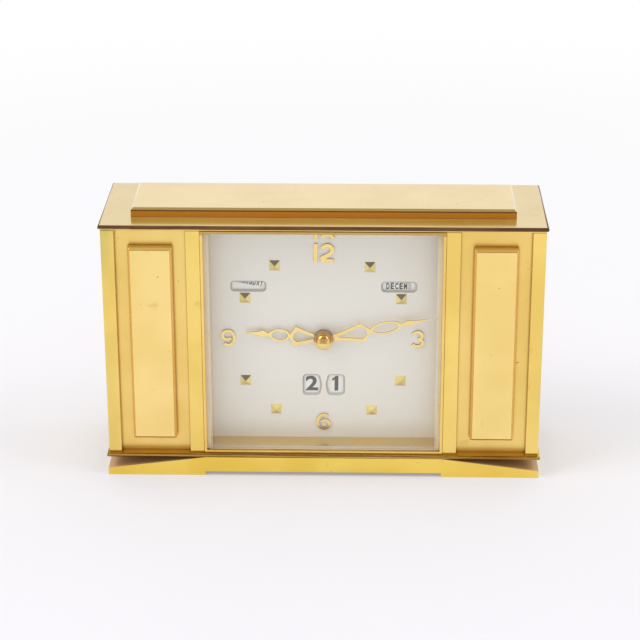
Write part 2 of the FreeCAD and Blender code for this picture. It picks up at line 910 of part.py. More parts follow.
def hand_outline(root_half, shoulder, shoulder_half, waist, waist_half, depth_low, depth_high):
    """The shield between the hub and the waist, with four hollow sides."""
    x, z = centre
    hollow = 0.93
    start = nut_radius * 0.6
    right = [
        (root_half, start),
        ((root_half + shoulder_half) / 2 * hollow, (start + shoulder) / 2),
        (shoulder_half, shoulder),
        ((shoulder_half + waist_half) / 2 * hollow, (shoulder + waist) / 2),
        (waist_half, waist),
    ]
    edges = []
    for side in (1, -1):
        points = at_depth([(x + side * across, z + along) for across, along in right], depth_low)
        edges.append(Part.Arc(points[0], points[1], points[2]).toShape())
        edges.append(Part.Arc(points[2], points[3], points[4]).toShape())
    ends = []
    for across, along in (right[0], right[4]):
        ends.append(at_depth([(x - across, z + along), (x + across, z + along)], depth_low))
    edges.append(Part.makeLine(ends[0][0], ends[0][1]))
    edges.append(Part.makeLine(ends[1][0], ends[1][1]))
    wire = Part.Wire(Part.__sortEdges__(edges))
    return extruded(Part.Face(wire), depth_high - depth_low)


def oval(along, semi_along, semi_across, depth_low, depth_high):
    """An oval plate whose long axis points along the hand."""
    middle = at_depth([(centre[0], centre[1] + along)], depth_low)[0]
    curve = Part.Ellipse(middle, semi_along, semi_across)
    curve.Axis = FreeCAD.Vector(0, 1, 0)
    curve.XAxis = FreeCAD.Vector(0, 0, 1)
    return extruded(Part.Face(Part.Wire(curve.toShape())), depth_high - depth_low)


def strip_points(half_widths):
    """A closed outline about the hand's middle line from (along, half width) pairs."""
    right = [(centre[0] + half, centre[1] + along) for along, half in half_widths]
    left = [(centre[0] - half, centre[1] + along) for along, half in reversed(half_widths)]
    return right + left


def pierced_hand(sizes, hub_radius, bore, depth_low, depth_high, boss_high):
    """A hand with a pierced shield, a pierced oval, a spade and a long point."""
    shield = hand_outline(
        sizes["root_half"], sizes["shoulder"], sizes["shoulder_half"],
        sizes["waist"], sizes["waist_half"], depth_low, depth_high
    )
    shield_hole = prism(strip_points([
        (sizes["hole_start"], sizes["hole_start_half"]),
        (sizes["hole_wide"], sizes["hole_half"]),
        (sizes["hole_end"], sizes["hole_half"] * 0.5),
    ]), depth_low, depth_high)
    loop_middle = (sizes["waist"] + sizes["neck"]) / 2
    loop_half = (sizes["neck"] - sizes["waist"]) / 2 + sizes["waist_half"] / 2
    loop = oval(loop_middle, loop_half, sizes["loop_half"], depth_low, depth_high)
    loop_hole = oval(
        loop_middle,
        loop_half - sizes["loop_end_band"],
        sizes["loop_half"] - sizes["loop_side_band"],
        depth_low,
        depth_high,
    )
    neck_half = sizes["waist_half"]
    spade = prism(strip_points([
        (sizes["neck"] - neck_half, neck_half),
        (sizes["neck"] + neck_half, neck_half * 0.8),
        (sizes["spade"], sizes["spade_half"]),
        (sizes["point_start"], sizes["spade_half"] * 0.45),
        (sizes["tip"], sizes["tip_half"]),
    ]), depth_low, depth_high)
    cross = prism(strip_points([
        (sizes["neck"], sizes["spade_half"] * 0.75),
        (sizes["neck"] + neck_half, sizes["spade_half"] * 0.75),
    ]), depth_low, depth_high)
    hub = rod(centre, hub_radius, depth_low, boss_high)
    hand = joined([shield, loop, spade, cross, hub])
    return less(hand, [shield_hole, loop_hole, rod(centre, bore, depth_low, boss_high)])


hour_hand_sizes = {
    "root_half": 1.5, "shoulder": 14.3, "shoulder_half": 5.4, "waist": 17.0, "waist_half": 0.7,
    "hole_start": 4.9, "hole_start_half": 0.5, "hole_wide": 12.9, "hole_half": 2.9, "hole_end": 15.0,
    "loop_half": 3.3, "loop_end_band": 1.2, "loop_side_band": 0.95, "neck": 26.6,
    "spade": 30.6, "spade_half": 1.9, "point_start": 33.0, "tip": 38.8, "tip_half": 0.2,
}
minute_hand_sizes = {
    "root_half": 1.1, "shoulder": 19.7, "shoulder_half": 4.9, "waist": 24.0, "waist_half": 0.6,
    "hole_start": 7.6, "hole_start_half": 0.2, "hole_wide": 18.9, "hole_half": 3.3, "hole_end": 21.8,
    "loop_half": 3.2, "loop_end_band": 1.2, "loop_side_band": 0.85, "neck": 38.6,
    "spade": 43.0, "spade_half": 1.5, "point_start": 45.6,
    "tip": dial_reach - minute_hand_margin, "tip_half": 0.15,
}
hour_hand_back = dial_front - dial_to_hour_hand
hour_hand_front = hour_hand_back - hand_thickness
minute_hand_back = hour_hand_front - hand_gap
minute_hand_front = minute_hand_back - hand_thickness
hour_hand = pierced_hand(
    hour_hand_sizes, nut_radius, hour_pipe_radius, hour_hand_front, hour_hand_back, hour_hand_back
)
save("hour_hand", turned(hour_hand, centre, hour_hand_angle))
minute_hand = pierced_hand(
    minute_hand_sizes, nut_radius, cannon_pipe_radius, minute_hand_front, minute_hand_back,
    minute_hand_back + hand_boss,
)
save("minute_hand", turned(minute_hand, centre, minute_hand_angle))

# Domed nut that holds the minute hand: a round collar with a shallow dome in front

nut_side_front = minute_hand_front - nut_side
nut_front = nut_side_front - nut_dome
dome_radius = (nut_radius ** 2 + nut_dome ** 2) / (2 * nut_dome)
dome_centre = FreeCAD.Vector(centre[0], nut_front + dome_radius - case_depth / 2, centre[1])
nut = Part.makeSphere(dome_radius, dome_centre)
nut = nut.common(rod(centre, dome_radius, nut_front, nut_side_front))
nut = joined([nut, rod(centre, nut_radius, nut_side_front, minute_hand_front)])
nut_bore_front = minute_hand_front - nut_side / 2
nut = less(nut, [rod(centre, centre_arbor_radius, nut_bore_front, minute_hand_front)])
save("hand_nut", nut)

# Motion work between the mounting plate and the movement: it divides the minute hand's turn by 12

motion_module = 2 * motion_distance / (cannon_teeth + minute_wheel_teeth)
pinion_module = 2 * motion_distance / (minute_pinion_teeth + hour_wheel_teeth)
minute_wheel_place = polar(centre, motion_distance, 0.0)
cannon_back = front_plate_front - axial_play
cannon_front = cannon_back - motion_wheel_thickness
hour_wheel_back = cannon_front - axial_play * 4
hour_wheel_front = hour_wheel_back - motion_wheel_thickness

cannon = joined([
    gear(centre, cannon_teeth, motion_module, cannon_front, cannon_back, 0.0, centre_arbor_radius),
    tube(centre, cannon_pipe_radius, centre_arbor_radius, minute_hand_front, cannon_front),
])
save("cannon_pinion", cannon)

hour_pipe_bore = cannon_pipe_radius + pipe_clearance
hour_wheel = joined([
    gear(
        centre, hour_wheel_teeth, pinion_module, hour_wheel_front, hour_wheel_back, 0.0, hour_pipe_bore
    ),
    tube(centre, hour_pipe_radius, hour_pipe_bore, hour_hand_front, hour_wheel_front),
])
save("hour_wheel", hour_wheel)

stud_bore = minute_stud_radius + running_clearance
minute_wheel = joined([
    gear(
        minute_wheel_place, minute_wheel_teeth, motion_module, cannon_front, cannon_back,
        180.0 + 180.0 / minute_wheel_teeth, stud_bore
    ),
    gear(
        minute_wheel_place, minute_pinion_teeth, pinion_module, hour_wheel_front, cannon_front,
        180.0 + 180.0 / minute_pinion_teeth, stud_bore
    ),
])
save("minute_wheel", minute_wheel)

# Movement frame

third_distance = (centre_wheel_teeth + third_pinion_teeth) * train_module / 2
third_place = polar(centre, third_distance, third_bearing)
index_distance = (third_wheel_teeth + index_pinion_teeth) * fine_module / 2
index_place = polar(third_place, index_distance, index_bearing)
balance_place = polar(index_place, balance_distance, balance_bearing)
coil_place = polar(balance_place, coil_distance, coil_bearing)
pivot_places = [third_place, index_place, balance_place]
pivot_hole = pivot_radius + running_clearance


def movement_plate(depth_low, depth_high):
    """One of the two plates, with the holes for the arbors and screws."""
    plate = block(-movement_half, movement_half, depth_low, depth_high, movement_low, movement_high)
    holes = [rod(centre, centre_arbor_radius + running_clearance, depth_low, depth_high)]
    for place in pivot_places:
        holes.append(rod(place, pivot_hole, depth_low, depth_high))
    for place in movement_screw_places:
        holes.append(rod(place, stack_screw_radius, depth_low, depth_high))
    return less(plate, holes)


minute_stud = rod(minute_wheel_place, minute_stud_radius, hour_wheel_front, front_plate_front)
front_plate = joined([movement_plate(front_plate_front, front_plate_back), minute_stud])
save("movement_front_plate", front_plate)
save("movement_rear_plate", movement_plate(rear_plate_front, rear_plate_back))

pillars = []
for place in movement_screw_places:
    pillars.append(
        tube(place, movement_pillar_radius, stack_screw_radius, mounting_back, front_plate_front)
    )
    pillars.append(
        tube(place, movement_pillar_radius, stack_screw_radius, front_plate_back, rear_plate_front)
    )
save_group("movement_pillars", pillars)
save_group(
    "movement_screws",
    [rear_screw(place, mounting_front, rear_plate_back) for place in movement_screw_places],
)

# Centre arbor: it carries the hands in front and the setting knob at the back

hands_knob_end = knob_back - knob_wall
save("centre_arbor", rod(centre, centre_arbor_radius, nut_bore_front, hands_knob_end))
hands_knob = knurled_knob(
    centre, hands_knob_radius, knob_front, knob_back, centre_arbor_radius, hands_knob_end
)
save("hands_knob", hands_knob)

centre_wheel_front = front_plate_back + centre_wheel_gap
centre_wheel_back = centre_wheel_front + train_wheel_thickness
centre_wheel = joined([
    gear(
        centre, centre_wheel_teeth, train_module, centre_wheel_front, centre_wheel_back,
        third_bearing, centre_arbor_radius
    ),
    tube(
        centre, centre_arbor_radius * 2.5, centre_arbor_radius, front_plate_back + axial_play,
        centre_wheel_front
    ),
])
save("centre_wheel", centre_wheel)

# Train wheels, each turned in one piece with its pinion and arbor

def train_wheel(place, pinion_teeth, pinion_module, pinion_front, pinion_phase, wheel):
    """An arbor with a pinion, whose pivots run in both plates, and its wheel."""
    pinion_back = pinion_front + train_pinion_length
    arbor = rod(place, pivot_radius, front_plate_front, rear_plate_back)
    pinion = gear(
        place, pinion_teeth, pinion_module, pinion_front, pinion_back, pinion_phase, pivot_radius
    )
    return joined([arbor, pinion, wheel])


third_wheel_front = front_plate_back + third_wheel_gap
third_wheel_back = third_wheel_front + train_wheel_thickness
third_disc = gear(
    third_place, third_wheel_teeth, fine_module, third_wheel_front, third_wheel_back,
    index_bearing, pivot_radius
)
third_hub = tube(third_place, pivot_radius * 2.5, pivot_radius, centre_wheel_back, third_wheel_front)
third_pinion_front = (centre_wheel_front + centre_wheel_back - train_pinion_length) / 2
third_pinion_phase = third_bearing + 180.0 + 180.0 / third_pinion_teeth
third = train_wheel(
    third_place, third_pinion_teeth, train_module, third_pinion_front, third_pinion_phase,
    joined([third_disc, third_hub]),
)
save("third_wheel", third)

index_wheel_front = front_plate_back + index_wheel_gap
index_wheel_back = index_wheel_front + train_wheel_thickness
ratchet = []
for tooth in range(index_teeth):
    start = tooth * 360.0 / index_teeth
    ratchet.append(polar(index_place, index_radius, start))
    ratchet.append(polar(index_place, index_radius * 0.72, start + 300.0 / index_teeth))
index_disc = prism(ratchet, index_wheel_front, index_wheel_back)
index_pinion_front = (third_wheel_front + third_wheel_back - train_pinion_length) / 2
index_pinion_phase = index_bearing + 180.0 + 180.0 / index_pinion_teeth
index_wheel = train_wheel(
    index_place, index_pinion_teeth, fine_module, index_pinion_front, index_pinion_phase,
    less(index_disc, [rod(index_place, pivot_radius, index_wheel_front, index_wheel_back)]),
)
save("index_wheel", index_wheel)

# Balance: rim, spokes, staff and the pawl that steps the index wheel

balance_front = front_plate_back + balance_gap
balance_back = balance_front + balance_thickness
spoke_half = balance_spoke / 2
spoke_reach = balance_radius - balance_rim / 2
x, z = balance_place
balance = joined([
    tube(balance_place, balance_radius, balance_radius - balance_rim, balance_front, balance_back),
    block(x - spoke_reach, x + spoke_reach, balance_front, balance_back, z - spoke_half, z + spoke_half),
    block(x - spoke_half, x + spoke_half, balance_front, balance_back, z - spoke_reach, z + spoke_reach),
    rod(balance_place, pivot_radius, front_plate_front, rear_plate_back),
    rod(balance_place, roller_radius, balance_back, index_wheel_back),
])
pawl = block(
    x, x + pawl_reach, index_wheel_front, index_wheel_back, z - pawl_width / 2, z + pawl_width / 2
)
balance = joined([balance, pawl])
save("balance_wheel", balance)

# Balance spring: a flat spiral whose radius grows by one pitch each turn

spring_steps = 36
spiral = []
for step in range(int(spring_turns * spring_steps) + 1):
    turn = step / spring_steps
    radius = spring_inner_radius + spring_pitch * turn
    spiral.append(polar(balance_place, radius, turn * 360.0))
spring_back = rear_plate_front - axial_play * 3
spring_front = spring_back - train_wheel_thickness
collet = tube(balance_place, spring_inner_radius, pivot_radius, spring_front, spring_back)
balance_spring = joined([ribbon(spiral, spring_strip, spring_front, spring_back), collet])
save("balance_spring", balance_spring)

# Drive coil: a winding between two cheeks on a core that is fixed to the rear plate

coil_back = rear_plate_front
coil_front = coil_back - coil_length
coil = joined([
    rod(coil_place, coil_core_radius, coil_front, coil_back),
    rod(coil_place, coil_radius, coil_front, coil_front + coil_cheek),
    rod(coil_place, coil_radius, coil_back - coil_cheek, coil_back),
    rod(coil_place, coil_radius - coil_cheek, coil_front + coil_cheek, coil_back - coil_cheek),
])
save("drive_coil", coil)

# Circuit board on two stand-offs behind the rear plate

board_high = movement_high - board_top_margin - stack_screw_head_radius * 3
board_low = board_high - board_height
board_front = rear_plate_back + board_standoff
board_back = board_front + board_thickness
board_half = board_width / 2
board_middle = (board_low + board_high) / 2
board_parts = [block(-board_half, board_half, board_front, board_back, board_low, board_high)]
for side in (-1, 1):
    standoff = (side * (board_half - post_radius), board_middle)
    board_parts.append(rod(standoff, movement_pillar_radius, rear_plate_back, board_front))
can = (-board_half / 2, board_middle)
board_parts.append(rod(can, board_can_radius, board_back, board_back + board_can_height))
for row in (-1, 1):
    pad_z = board_middle + row * board_height / 4
    board_parts.append(block(
        0.0, board_pad_length, board_back, board_back + board_pad_height,
        pad_z - board_pad_height / 2, pad_z + board_pad_height / 2,
    ))
save("circuit_board", joined(board_parts))

# Battery: an upright round cell in a moulded holder on the front of the rear cover

cell_space = cell_radius + cell_play
cell_depth = cover_front - cell_space
holder_front = cover_front - 2 * cell_space - holder_wall
cell_total = cell_length + cell_nub_height
bay_low = holder_centre_z - cell_total / 2 - contact_space
bay_high = holder_centre_z + cell_total / 2 + contact_space
bay_left = holder_centre_x - cell_space
bay_right = holder_centre_x + cell_space
holder = joined([
    block(
        bay_left - holder_wall, bay_right + holder_wall, holder_front, cover_front,
        bay_low - holder_wall, bay_high + holder_wall
    ),
    block(
        bay_left - holder_flange, bay_right + holder_flange, cover_front - holder_wall, cover_front,
        bay_low - holder_flange, bay_high + holder_flange
    ),
])
bay = block(
    bay_left, bay_right, holder_front + holder_wall, cover_front, bay_low, bay_high
)
save("battery_holder", less(holder, [bay]))

cell_low = bay_low + contact_space
cell = joined([
    upright(holder_centre_x, cell_depth, cell_radius, cell_low, cell_low + cell_length),
    upright(holder_centre_x, cell_depth, cell_nub_radius, cell_low + cell_length, cell_low + cell_total),
])
save("battery_cell", cell)


def contact_leaf(wall_z, reach):
    """A spring leaf: a strip on the end wall that folds back towards the cell."""
    toward = 1 if reach > 0 else -1
    half = contact_width / 2
    near = wall_z
    far = wall_z + reach
    points = [
        (holder_centre_x - half, near),
        (holder_centre_x + half, near),
        (holder_centre_x + half, near + toward * contact_sheet),
        (holder_centre_x - half + 2 * contact_sheet, near + toward * contact_sheet),
        (holder_centre_x, far - toward * contact_sheet),
        (holder_centre_x + half / 2, far - toward * contact_sheet),
        (holder_centre_x + half / 2, far),
        (holder_centre_x - contact_sheet, far),
        (holder_centre_x - half, near + toward * contact_sheet),
    ]
    half_depth = contact_width / 2
    return prism(points, cell_depth - half_depth, cell_depth + half_depth)


save_group("battery_contacts", [
    contact_leaf(bay_low, contact_space),
    contact_leaf(bay_high, -contact_space),
])

# Rear cover with the battery opening, the arbor holes and two knuckles of the door's hinge

door_half = cell_space + door_overlap
door_low = bay_low - contact_sheet
hinge_z = door_low - door_knuckle_radius - door_knuckle_play
hinge_depth = cover_back + door_knuckle_radius + door_knuckle_play
door_high = bay_high + door_overlap
cover_half = side_wall_inner - cover_play
cover = block(
    -cover_half, cover_half, cover_front, cover_back, body_z + cover_play, roof_z - cover_play
)
knuckle_ends = (
    (holder_centre_x - door_half, holder_centre_x - door_half + door_side_knuckle),
    (holder_centre_x + door_half - door_side_knuckle, holder_centre_x + door_half),
)
cover_parts = [cover]
for low_x, high_x in knuckle_ends:
    cover_parts.append(crossbar(hinge_depth, hinge_z, door_knuckle_radius, low_x, high_x))
    cover_parts.append(block(
        low_x, high_x, cover_back, hinge_depth, hinge_z - door_knuckle_radius, hinge_z
    ))
cuts = [block(bay_left, bay_right, cover_front, cover_back, bay_low, bay_high)]
for place in calendar_places.values():
    bearing = calendar_arbor_radius + running_clearance
    cuts.append(rod(place, bearing, cover_front, cover_back))
cuts.append(rod(centre, centre_arbor_radius + hole_clearance, cover_front, cover_back))
for place in cover_screw_places:
    cuts.append(rod(place, cover_screw_radius, cover_front, cover_back))
hinge_left = holder_centre_x - door_half
hinge_right = holder_centre_x + door_half
cuts.append(crossbar(hinge_depth, hinge_z, door_pin_radius, hinge_left, hinge_right))
save("rear_cover", less(joined(cover_parts), cuts))

cover_screws = []
for place in cover_screw_places:
    head_back = cover_back + cover_screw_head_height
    tip = cover_back - cover_screw_length
    cover_screws.append(joined([
        rod(place, cover_screw_head_radius, cover_back, head_back),
        rod(place, cover_screw_radius, tip, cover_back),
    ]))
save_group("cover_screws", cover_screws)

# Battery door and its hinge pin

save("door_pin", crossbar(hinge_depth, hinge_z, door_pin_radius, hinge_left, hinge_right))
door_front = cover_back + door_gap
door_back = door_front + door_thickness
knuckle_low = hinge_left + door_side_knuckle + door_knuckle_play
knuckle_high = hinge_right - door_side_knuckle - door_knuckle_play
door = joined([
    block(hinge_left, hinge_right, door_front, door_back, door_low, door_high),
    block(knuckle_low, knuckle_high, door_front + door_gap, door_back, hinge_z, door_low),
    crossbar(hinge_depth, hinge_z, door_knuckle_radius, knuckle_low, knuckle_high),
    block(
        holder_centre_x - contact_width, holder_centre_x + contact_width,
        door_back, door_back + door_lift_height, door_high - door_lift_height, door_high
    ),
])
pin_bore = door_pin_radius + running_clearance
save("battery_door", less(door, [crossbar(hinge_depth, hinge_z, pin_bore, knuckle_low, knuckle_high)]))

# Two leads from the battery holder to the circuit board, which bend round behind the rear post

def rounded_path(points, radius):
    """A path of straight runs through the points, with a tangent arc at each inner one."""
    edges = []
    start = points[0]
    for index in range(1, len(points) - 1):
        corner = points[index]
        before = (points[index - 1] - corner).normalize()
        after = (points[index + 1] - corner).normalize()
        half_angle = before.getAngle(after) / 2
        reach = radius / math.tan(half_angle)
        arc_start = corner + before * reach
        arc_end = corner + after * reach
        inward = (before + after).normalize()
        middle = corner + inward * (radius / math.sin(half_angle) - radius)
        edges.append(Part.makeLine(start, arc_start))
        edges.append(Part.Arc(arc_start, middle, arc_end).toShape())
        start = arc_end
    edges.append(Part.makeLine(start, points[-1]))
    return Part.Wire(edges)


leads = []
lead_far_y = rear_post_depth + post_radius + lead_clearance + wire_radius - case_depth / 2
lead_near_y = (board_front + board_back) / 2 - case_depth / 2
for row in (-1, 1):
    lead_z = board_middle + row * lead_spacing / 2
    route = [
        FreeCAD.Vector(bay_left - holder_wall, lead_far_y, lead_z),
        FreeCAD.Vector(rear_post_x - lead_bend_gap, lead_far_y, lead_z),
        FreeCAD.Vector(rear_post_x - 2 * lead_bend_gap, lead_near_y, lead_z),
        FreeCAD.Vector(board_half, lead_near_y, lead_z),
    ]
    section = Part.Wire(Part.makeCircle(wire_radius, route[0], FreeCAD.Vector(1, 0, 0)))
    path = rounded_path(route, wire_turn_radius)
    leads.append(path.makePipeShell([section], True, False))
save_group("lead_wires", leads)
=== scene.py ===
import bmesh
import bpy
import math
import numpy as np
from mathutils import Matrix, Vector


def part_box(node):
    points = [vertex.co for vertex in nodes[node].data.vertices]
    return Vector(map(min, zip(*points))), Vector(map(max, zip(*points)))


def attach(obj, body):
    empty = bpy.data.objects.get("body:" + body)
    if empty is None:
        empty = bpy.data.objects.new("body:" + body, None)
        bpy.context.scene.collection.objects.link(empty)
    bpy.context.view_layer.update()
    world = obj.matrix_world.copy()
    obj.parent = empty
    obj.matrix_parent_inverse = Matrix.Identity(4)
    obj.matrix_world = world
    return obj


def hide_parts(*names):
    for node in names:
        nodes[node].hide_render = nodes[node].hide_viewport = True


# Desk clock with calendar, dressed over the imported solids.
# Metres. X runs along the clock's width, Z up, Y from the front to the back.

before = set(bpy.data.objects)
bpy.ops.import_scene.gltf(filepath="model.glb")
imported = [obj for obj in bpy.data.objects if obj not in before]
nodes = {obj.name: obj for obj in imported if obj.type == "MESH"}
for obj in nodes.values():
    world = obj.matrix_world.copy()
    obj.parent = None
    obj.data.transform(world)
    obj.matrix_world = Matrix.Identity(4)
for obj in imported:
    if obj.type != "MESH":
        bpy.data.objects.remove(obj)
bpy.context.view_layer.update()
MM = 0.001

# Camera. A long lens stands a metre in front of the clock and looks down on it by 22 degrees,
# turned a little to the left, as the picture was taken.


def into_scene(name, data):
    """A new object in the scene, at the origin."""
    made = bpy.data.objects.new(name, data)
    bpy.context.scene.collection.objects.link(made)
    return made


eye = Vector((20.791, -979.011, 466.399)) * MM
turn, dip, tilt = math.radians(1.345), math.radians(21.98), math.radians(-0.102)
ahead = Vector((
    -math.sin(turn) * math.cos(dip), math.cos(turn) * math.cos(dip), -math.sin(dip)
))
level = Vector((math.cos(turn), math.sin(turn), 0.0))
upward = level.cross(ahead)
across = level * math.cos(tilt) + upward * math.sin(tilt)
above = upward * math.cos(tilt) - level * math.sin(tilt)
lens = bpy.data.cameras.new("camera")
lens.sensor_width = 36.0
lens.lens = 118.19
lens.clip_start = 0.05
lens.clip_end = 60.0
camera = into_scene("camera", lens)
camera.matrix_world = Matrix((
    (across.x, above.x, -ahead.x, eye.x),
    (across.y, above.y, -ahead.y, eye.y),
    (across.z, above.z, -ahead.z, eye.z),
    (0.0, 0.0, 0.0, 1.0),
))
bpy.context.scene.camera = camera

# Plinth. A hollow foot folded from brass sheet, arched under its middle, with ends that slope
# down. Its faces are brushed along the clock and lacquered; its edges are eased by hand.


class Wire:
    """A value in a finish. Each +, -, * and abs() on wires adds a Math node."""

    def __init__(self, finish, socket):
        self.finish = finish
        self.socket = socket

    def combined(self, operation, first, second):
        return self.finish.node("ShaderNodeMath", {"operation": operation}, {0: first, 1: second})

    def __add__(self, other):
        return self.combined("ADD", self, other)

    __radd__ = __add__

    def __sub__(self, other):
        return self.combined("SUBTRACT", self, other)

    def __rsub__(self, other):
        return self.combined("SUBTRACT", other, self)

    def __mul__(self, other):
        return self.combined("MULTIPLY", self, other)

    __rmul__ = __mul__

    def __neg__(self):
        return self.combined("SUBTRACT", 0.0, self)

    def __abs__(self):
        return self.finish.node("ShaderNodeMath", {"operation": "ABSOLUTE"}, {0: self})


class Finish:
    """A finish drawn with nodes, for a material or for the room."""

    def __init__(self, owner):
        owner.use_nodes = True
        self.owner = owner
        self.tree = owner.node_tree
        self.tree.nodes.clear()

    def node(self, kind, settings, values, output=0):
        """Adds one node: its settings first, then a value or a wire for each socket named."""
        made = self.tree.nodes.new(kind)
        for name, setting in settings.items():
            if name == "stops":
                ramp = made.color_ramp
                while len(ramp.elements) < len(setting):
                    ramp.elements.new(0.5)
                for element, (place, shade) in zip(ramp.elements, setting):
                    element.position = place
                    element.color = shade
            else:
                setattr(made, name, setting)
        for name, value in values.items():
            if isinstance(value, Wire):
                self.tree.links.new(value.socket, made.inputs[name])
            else:
                made.inputs[name].default_value = value
        return Wire(self, made.outputs[output] if made.outputs else None)

    def mixed(self, share, first, second):
        """The colour that is first where share is 0 and second where it is 1."""
        return self.node(
            "ShaderNodeMix", {"data_type": "RGBA"}, {0: share, 6: first, 7: second}, 2
        )

    def eased(self, wire, low, high):
        """0 below low, 1 above high, and a smooth rise between them."""
        return self.node(
            "ShaderNodeMapRange", {"interpolation_type": "SMOOTHSTEP"}, {0: wire, 1: low, 2: high}
        )

    def place(self, stretch=(1.0, 1.0, 1.0)):
        """The place on the piece, stretched along the clock's axes."""
        spot = self.node("ShaderNodeTexCoord", {}, {}, "Object")
        return self.node("ShaderNodeMapping", {}, {"Vector": spot, "Scale": stretch})

    def facing(self, kind="Normal"):
        """The way the face looks. The kind True Normal leaves the smoothing out."""
        return self.node("ShaderNodeNewGeometry", {}, {}, kind)

    def part(self, vector, axis):
        """How far a place or a direction reaches along one axis, X, Y or Z."""
        return self.node("ShaderNodeSeparateXYZ", {}, {0: vector}, axis)

    def noise(self, vector, scale, detail=2.0):
        """Soft noise, with about so many lumps in a metre."""
        return self.node(
            "ShaderNodeTexNoise", {}, {"Vector": vector, "Scale": scale, "Detail": detail}, "Fac"
        )

    def relief(self, height, strength, depth):
        """A fine relief with this height, depth and strength, as a way for the face to look."""
        return self.node(
            "ShaderNodeBump", {}, {"Strength": strength, "Distance": depth, "Height": height}
        )

    def ray(self, kind):
        """1 for one kind of ray, such as Camera or Glossy, and 0 for the others."""
        return self.node("ShaderNodeLightPath", {}, {}, f"Is {kind} Ray")

    def close(self, shader):
        """Ends the finish with its shader."""
        is_room = isinstance(self.owner, bpy.types.World)
        kind = "ShaderNodeOutputWorld" if is_room else "ShaderNodeOutputMaterial"
        self.node(kind, {}, {"Surface": shader})
        return self.owner

    def surface(self, values):
        """The principled shader with these values."""
        return self.node("ShaderNodeBsdfPrincipled", {}, values)


def tint(red, green, blue):
    """A colour as a screen shows it, from 0 to 255, as linear light."""
    shares = [value / 255.0 for value in (red, green, blue)]
    linear = [s / 12.92 if s <= 0.04045 else ((s + 0.055) / 1.055) ** 2.4 for s in shares]
    return (*linear, 1.0)


ALONG, UPRIGHT, BACKWARD = (1.0, 60.0, 60.0), (60.0, 60.0, 1.0), (60.0, 1.0, 60.0)


def lacquered_brass(
    name, light, deep, grain, roughness=0.17, specks=0.4, reach=1.5 * MM, own_corners=False,
    coat=0.2, coat_ior=1.5, tarnish_or_shade=None, corner_shade_tint=tint(150, 96, 22), metallic=1.0,
    cracks=0.0
):
    """Brushed brass under lacquer: hair lines along one way, soft clouds between two tones, small
    dark specks where the lacquer has gone, a few hair cracks, painted brown shade on faces that
    look down and in the inner corners as far as this reach, between its own faces only or against
    other pieces too. Where a tarnish function is given, it takes the place, the way the face looks
    and the metal's colour, and gives the colour there, real tarnish on some pieces and painted
    light and shade on others, and how much the lacquer and the metal are dulled."""
    finish = Finish(bpy.data.materials.new(name))
    spot = finish.place()
    cloud = finish.eased(finish.noise(spot, 26.0, 3.0), 0.36, 0.66)
    hairs = finish.noise(finish.place(grain), 70.0, 4.0)
    speck = finish.eased(finish.noise(spot, 420.0, 1.0), 0.76, 0.81)
    stain_or_reflection = finish.eased(finish.noise(spot, 95.0, 4.0), 0.66, 0.74)
    patina = finish.eased(finish.noise(spot, 11.0, 3.0), 0.48, 0.68)
    # Painted shade: the inner corners that ambient occlusion finds are painted a darker brown and
    # made less metallic.
    openness = finish.node(
        "ShaderNodeAmbientOcclusion", {"samples": 6, "only_local": own_corners},
        {"Distance": reach}, "AO",
    )
    corner_shade = 1.0 - finish.eased(openness + (hairs - 0.5) * 0.12, 0.42, 0.80)
    facing = finish.facing()
    # Painted shade: faces that look downwards are painted a dull brown.
    underside_shade = finish.eased(-finish.part(facing, "Z"), 0.25, 0.85)
    bent = finish.node("ShaderNodeVectorMath", {"operation": "MULTIPLY_ADD"}, {
        0: finish.node("ShaderNodeTexNoise", {}, {"Vector": spot, "Scale": 60.0}, "Color"),
        1: (0.012, 0.012, 0.012),
        2: spot,
    })
    to_crack = finish.node("ShaderNodeTexVoronoi", {"feature": "DISTANCE_TO_EDGE"}, {
        "Vector": bent, "Scale": 24.0
    })
    crack = 1.0 - finish.eased(to_crack, 0.002, 0.007)
    crack = crack * finish.eased(finish.noise(spot, 34.0, 1.0), 0.62, 0.68)
    metal = finish.mixed(cloud, deep, light)
    for share, shade in (
        (patina * 0.12, tint(216, 204, 108)),
        (stain_or_reflection * 0.22, tint(186, 150, 62)),
        (speck * specks, tint(112, 78, 30)),
        (crack * cracks, tint(150, 108, 48)),
        (underside_shade * 0.8, tint(150, 112, 74)),
    ):
        metal = finish.mixed(share, metal, shade)
    bare_or_shaded = 0.0
    if tarnish_or_shade:
        metal, bare_or_shaded = tarnish_or_shade(finish, spot, facing, metal)
    # Painted shade in the inner corners.
    metal = finish.mixed(corner_shade * 0.85, metal, corner_shade_tint)
    return finish.close(finish.surface({
        "Base Color": metal,
        "Metallic": (1.0 - corner_shade * 0.7) * (1.0 - bare_or_shaded * 0.85) * metallic,
        "Roughness": roughness + (hairs - 0.5) * 0.10 + speck * 0.3 + stain_or_reflection * 0.06 + bare_or_shaded * 0.12,
        "Coat Weight": coat * (1.0 - bare_or_shaded),
        "Coat Roughness": 0.06,
        "Coat IOR": coat_ior,
        "Normal": finish.relief(hairs, 0.10, 0.06 * MM),
    }))


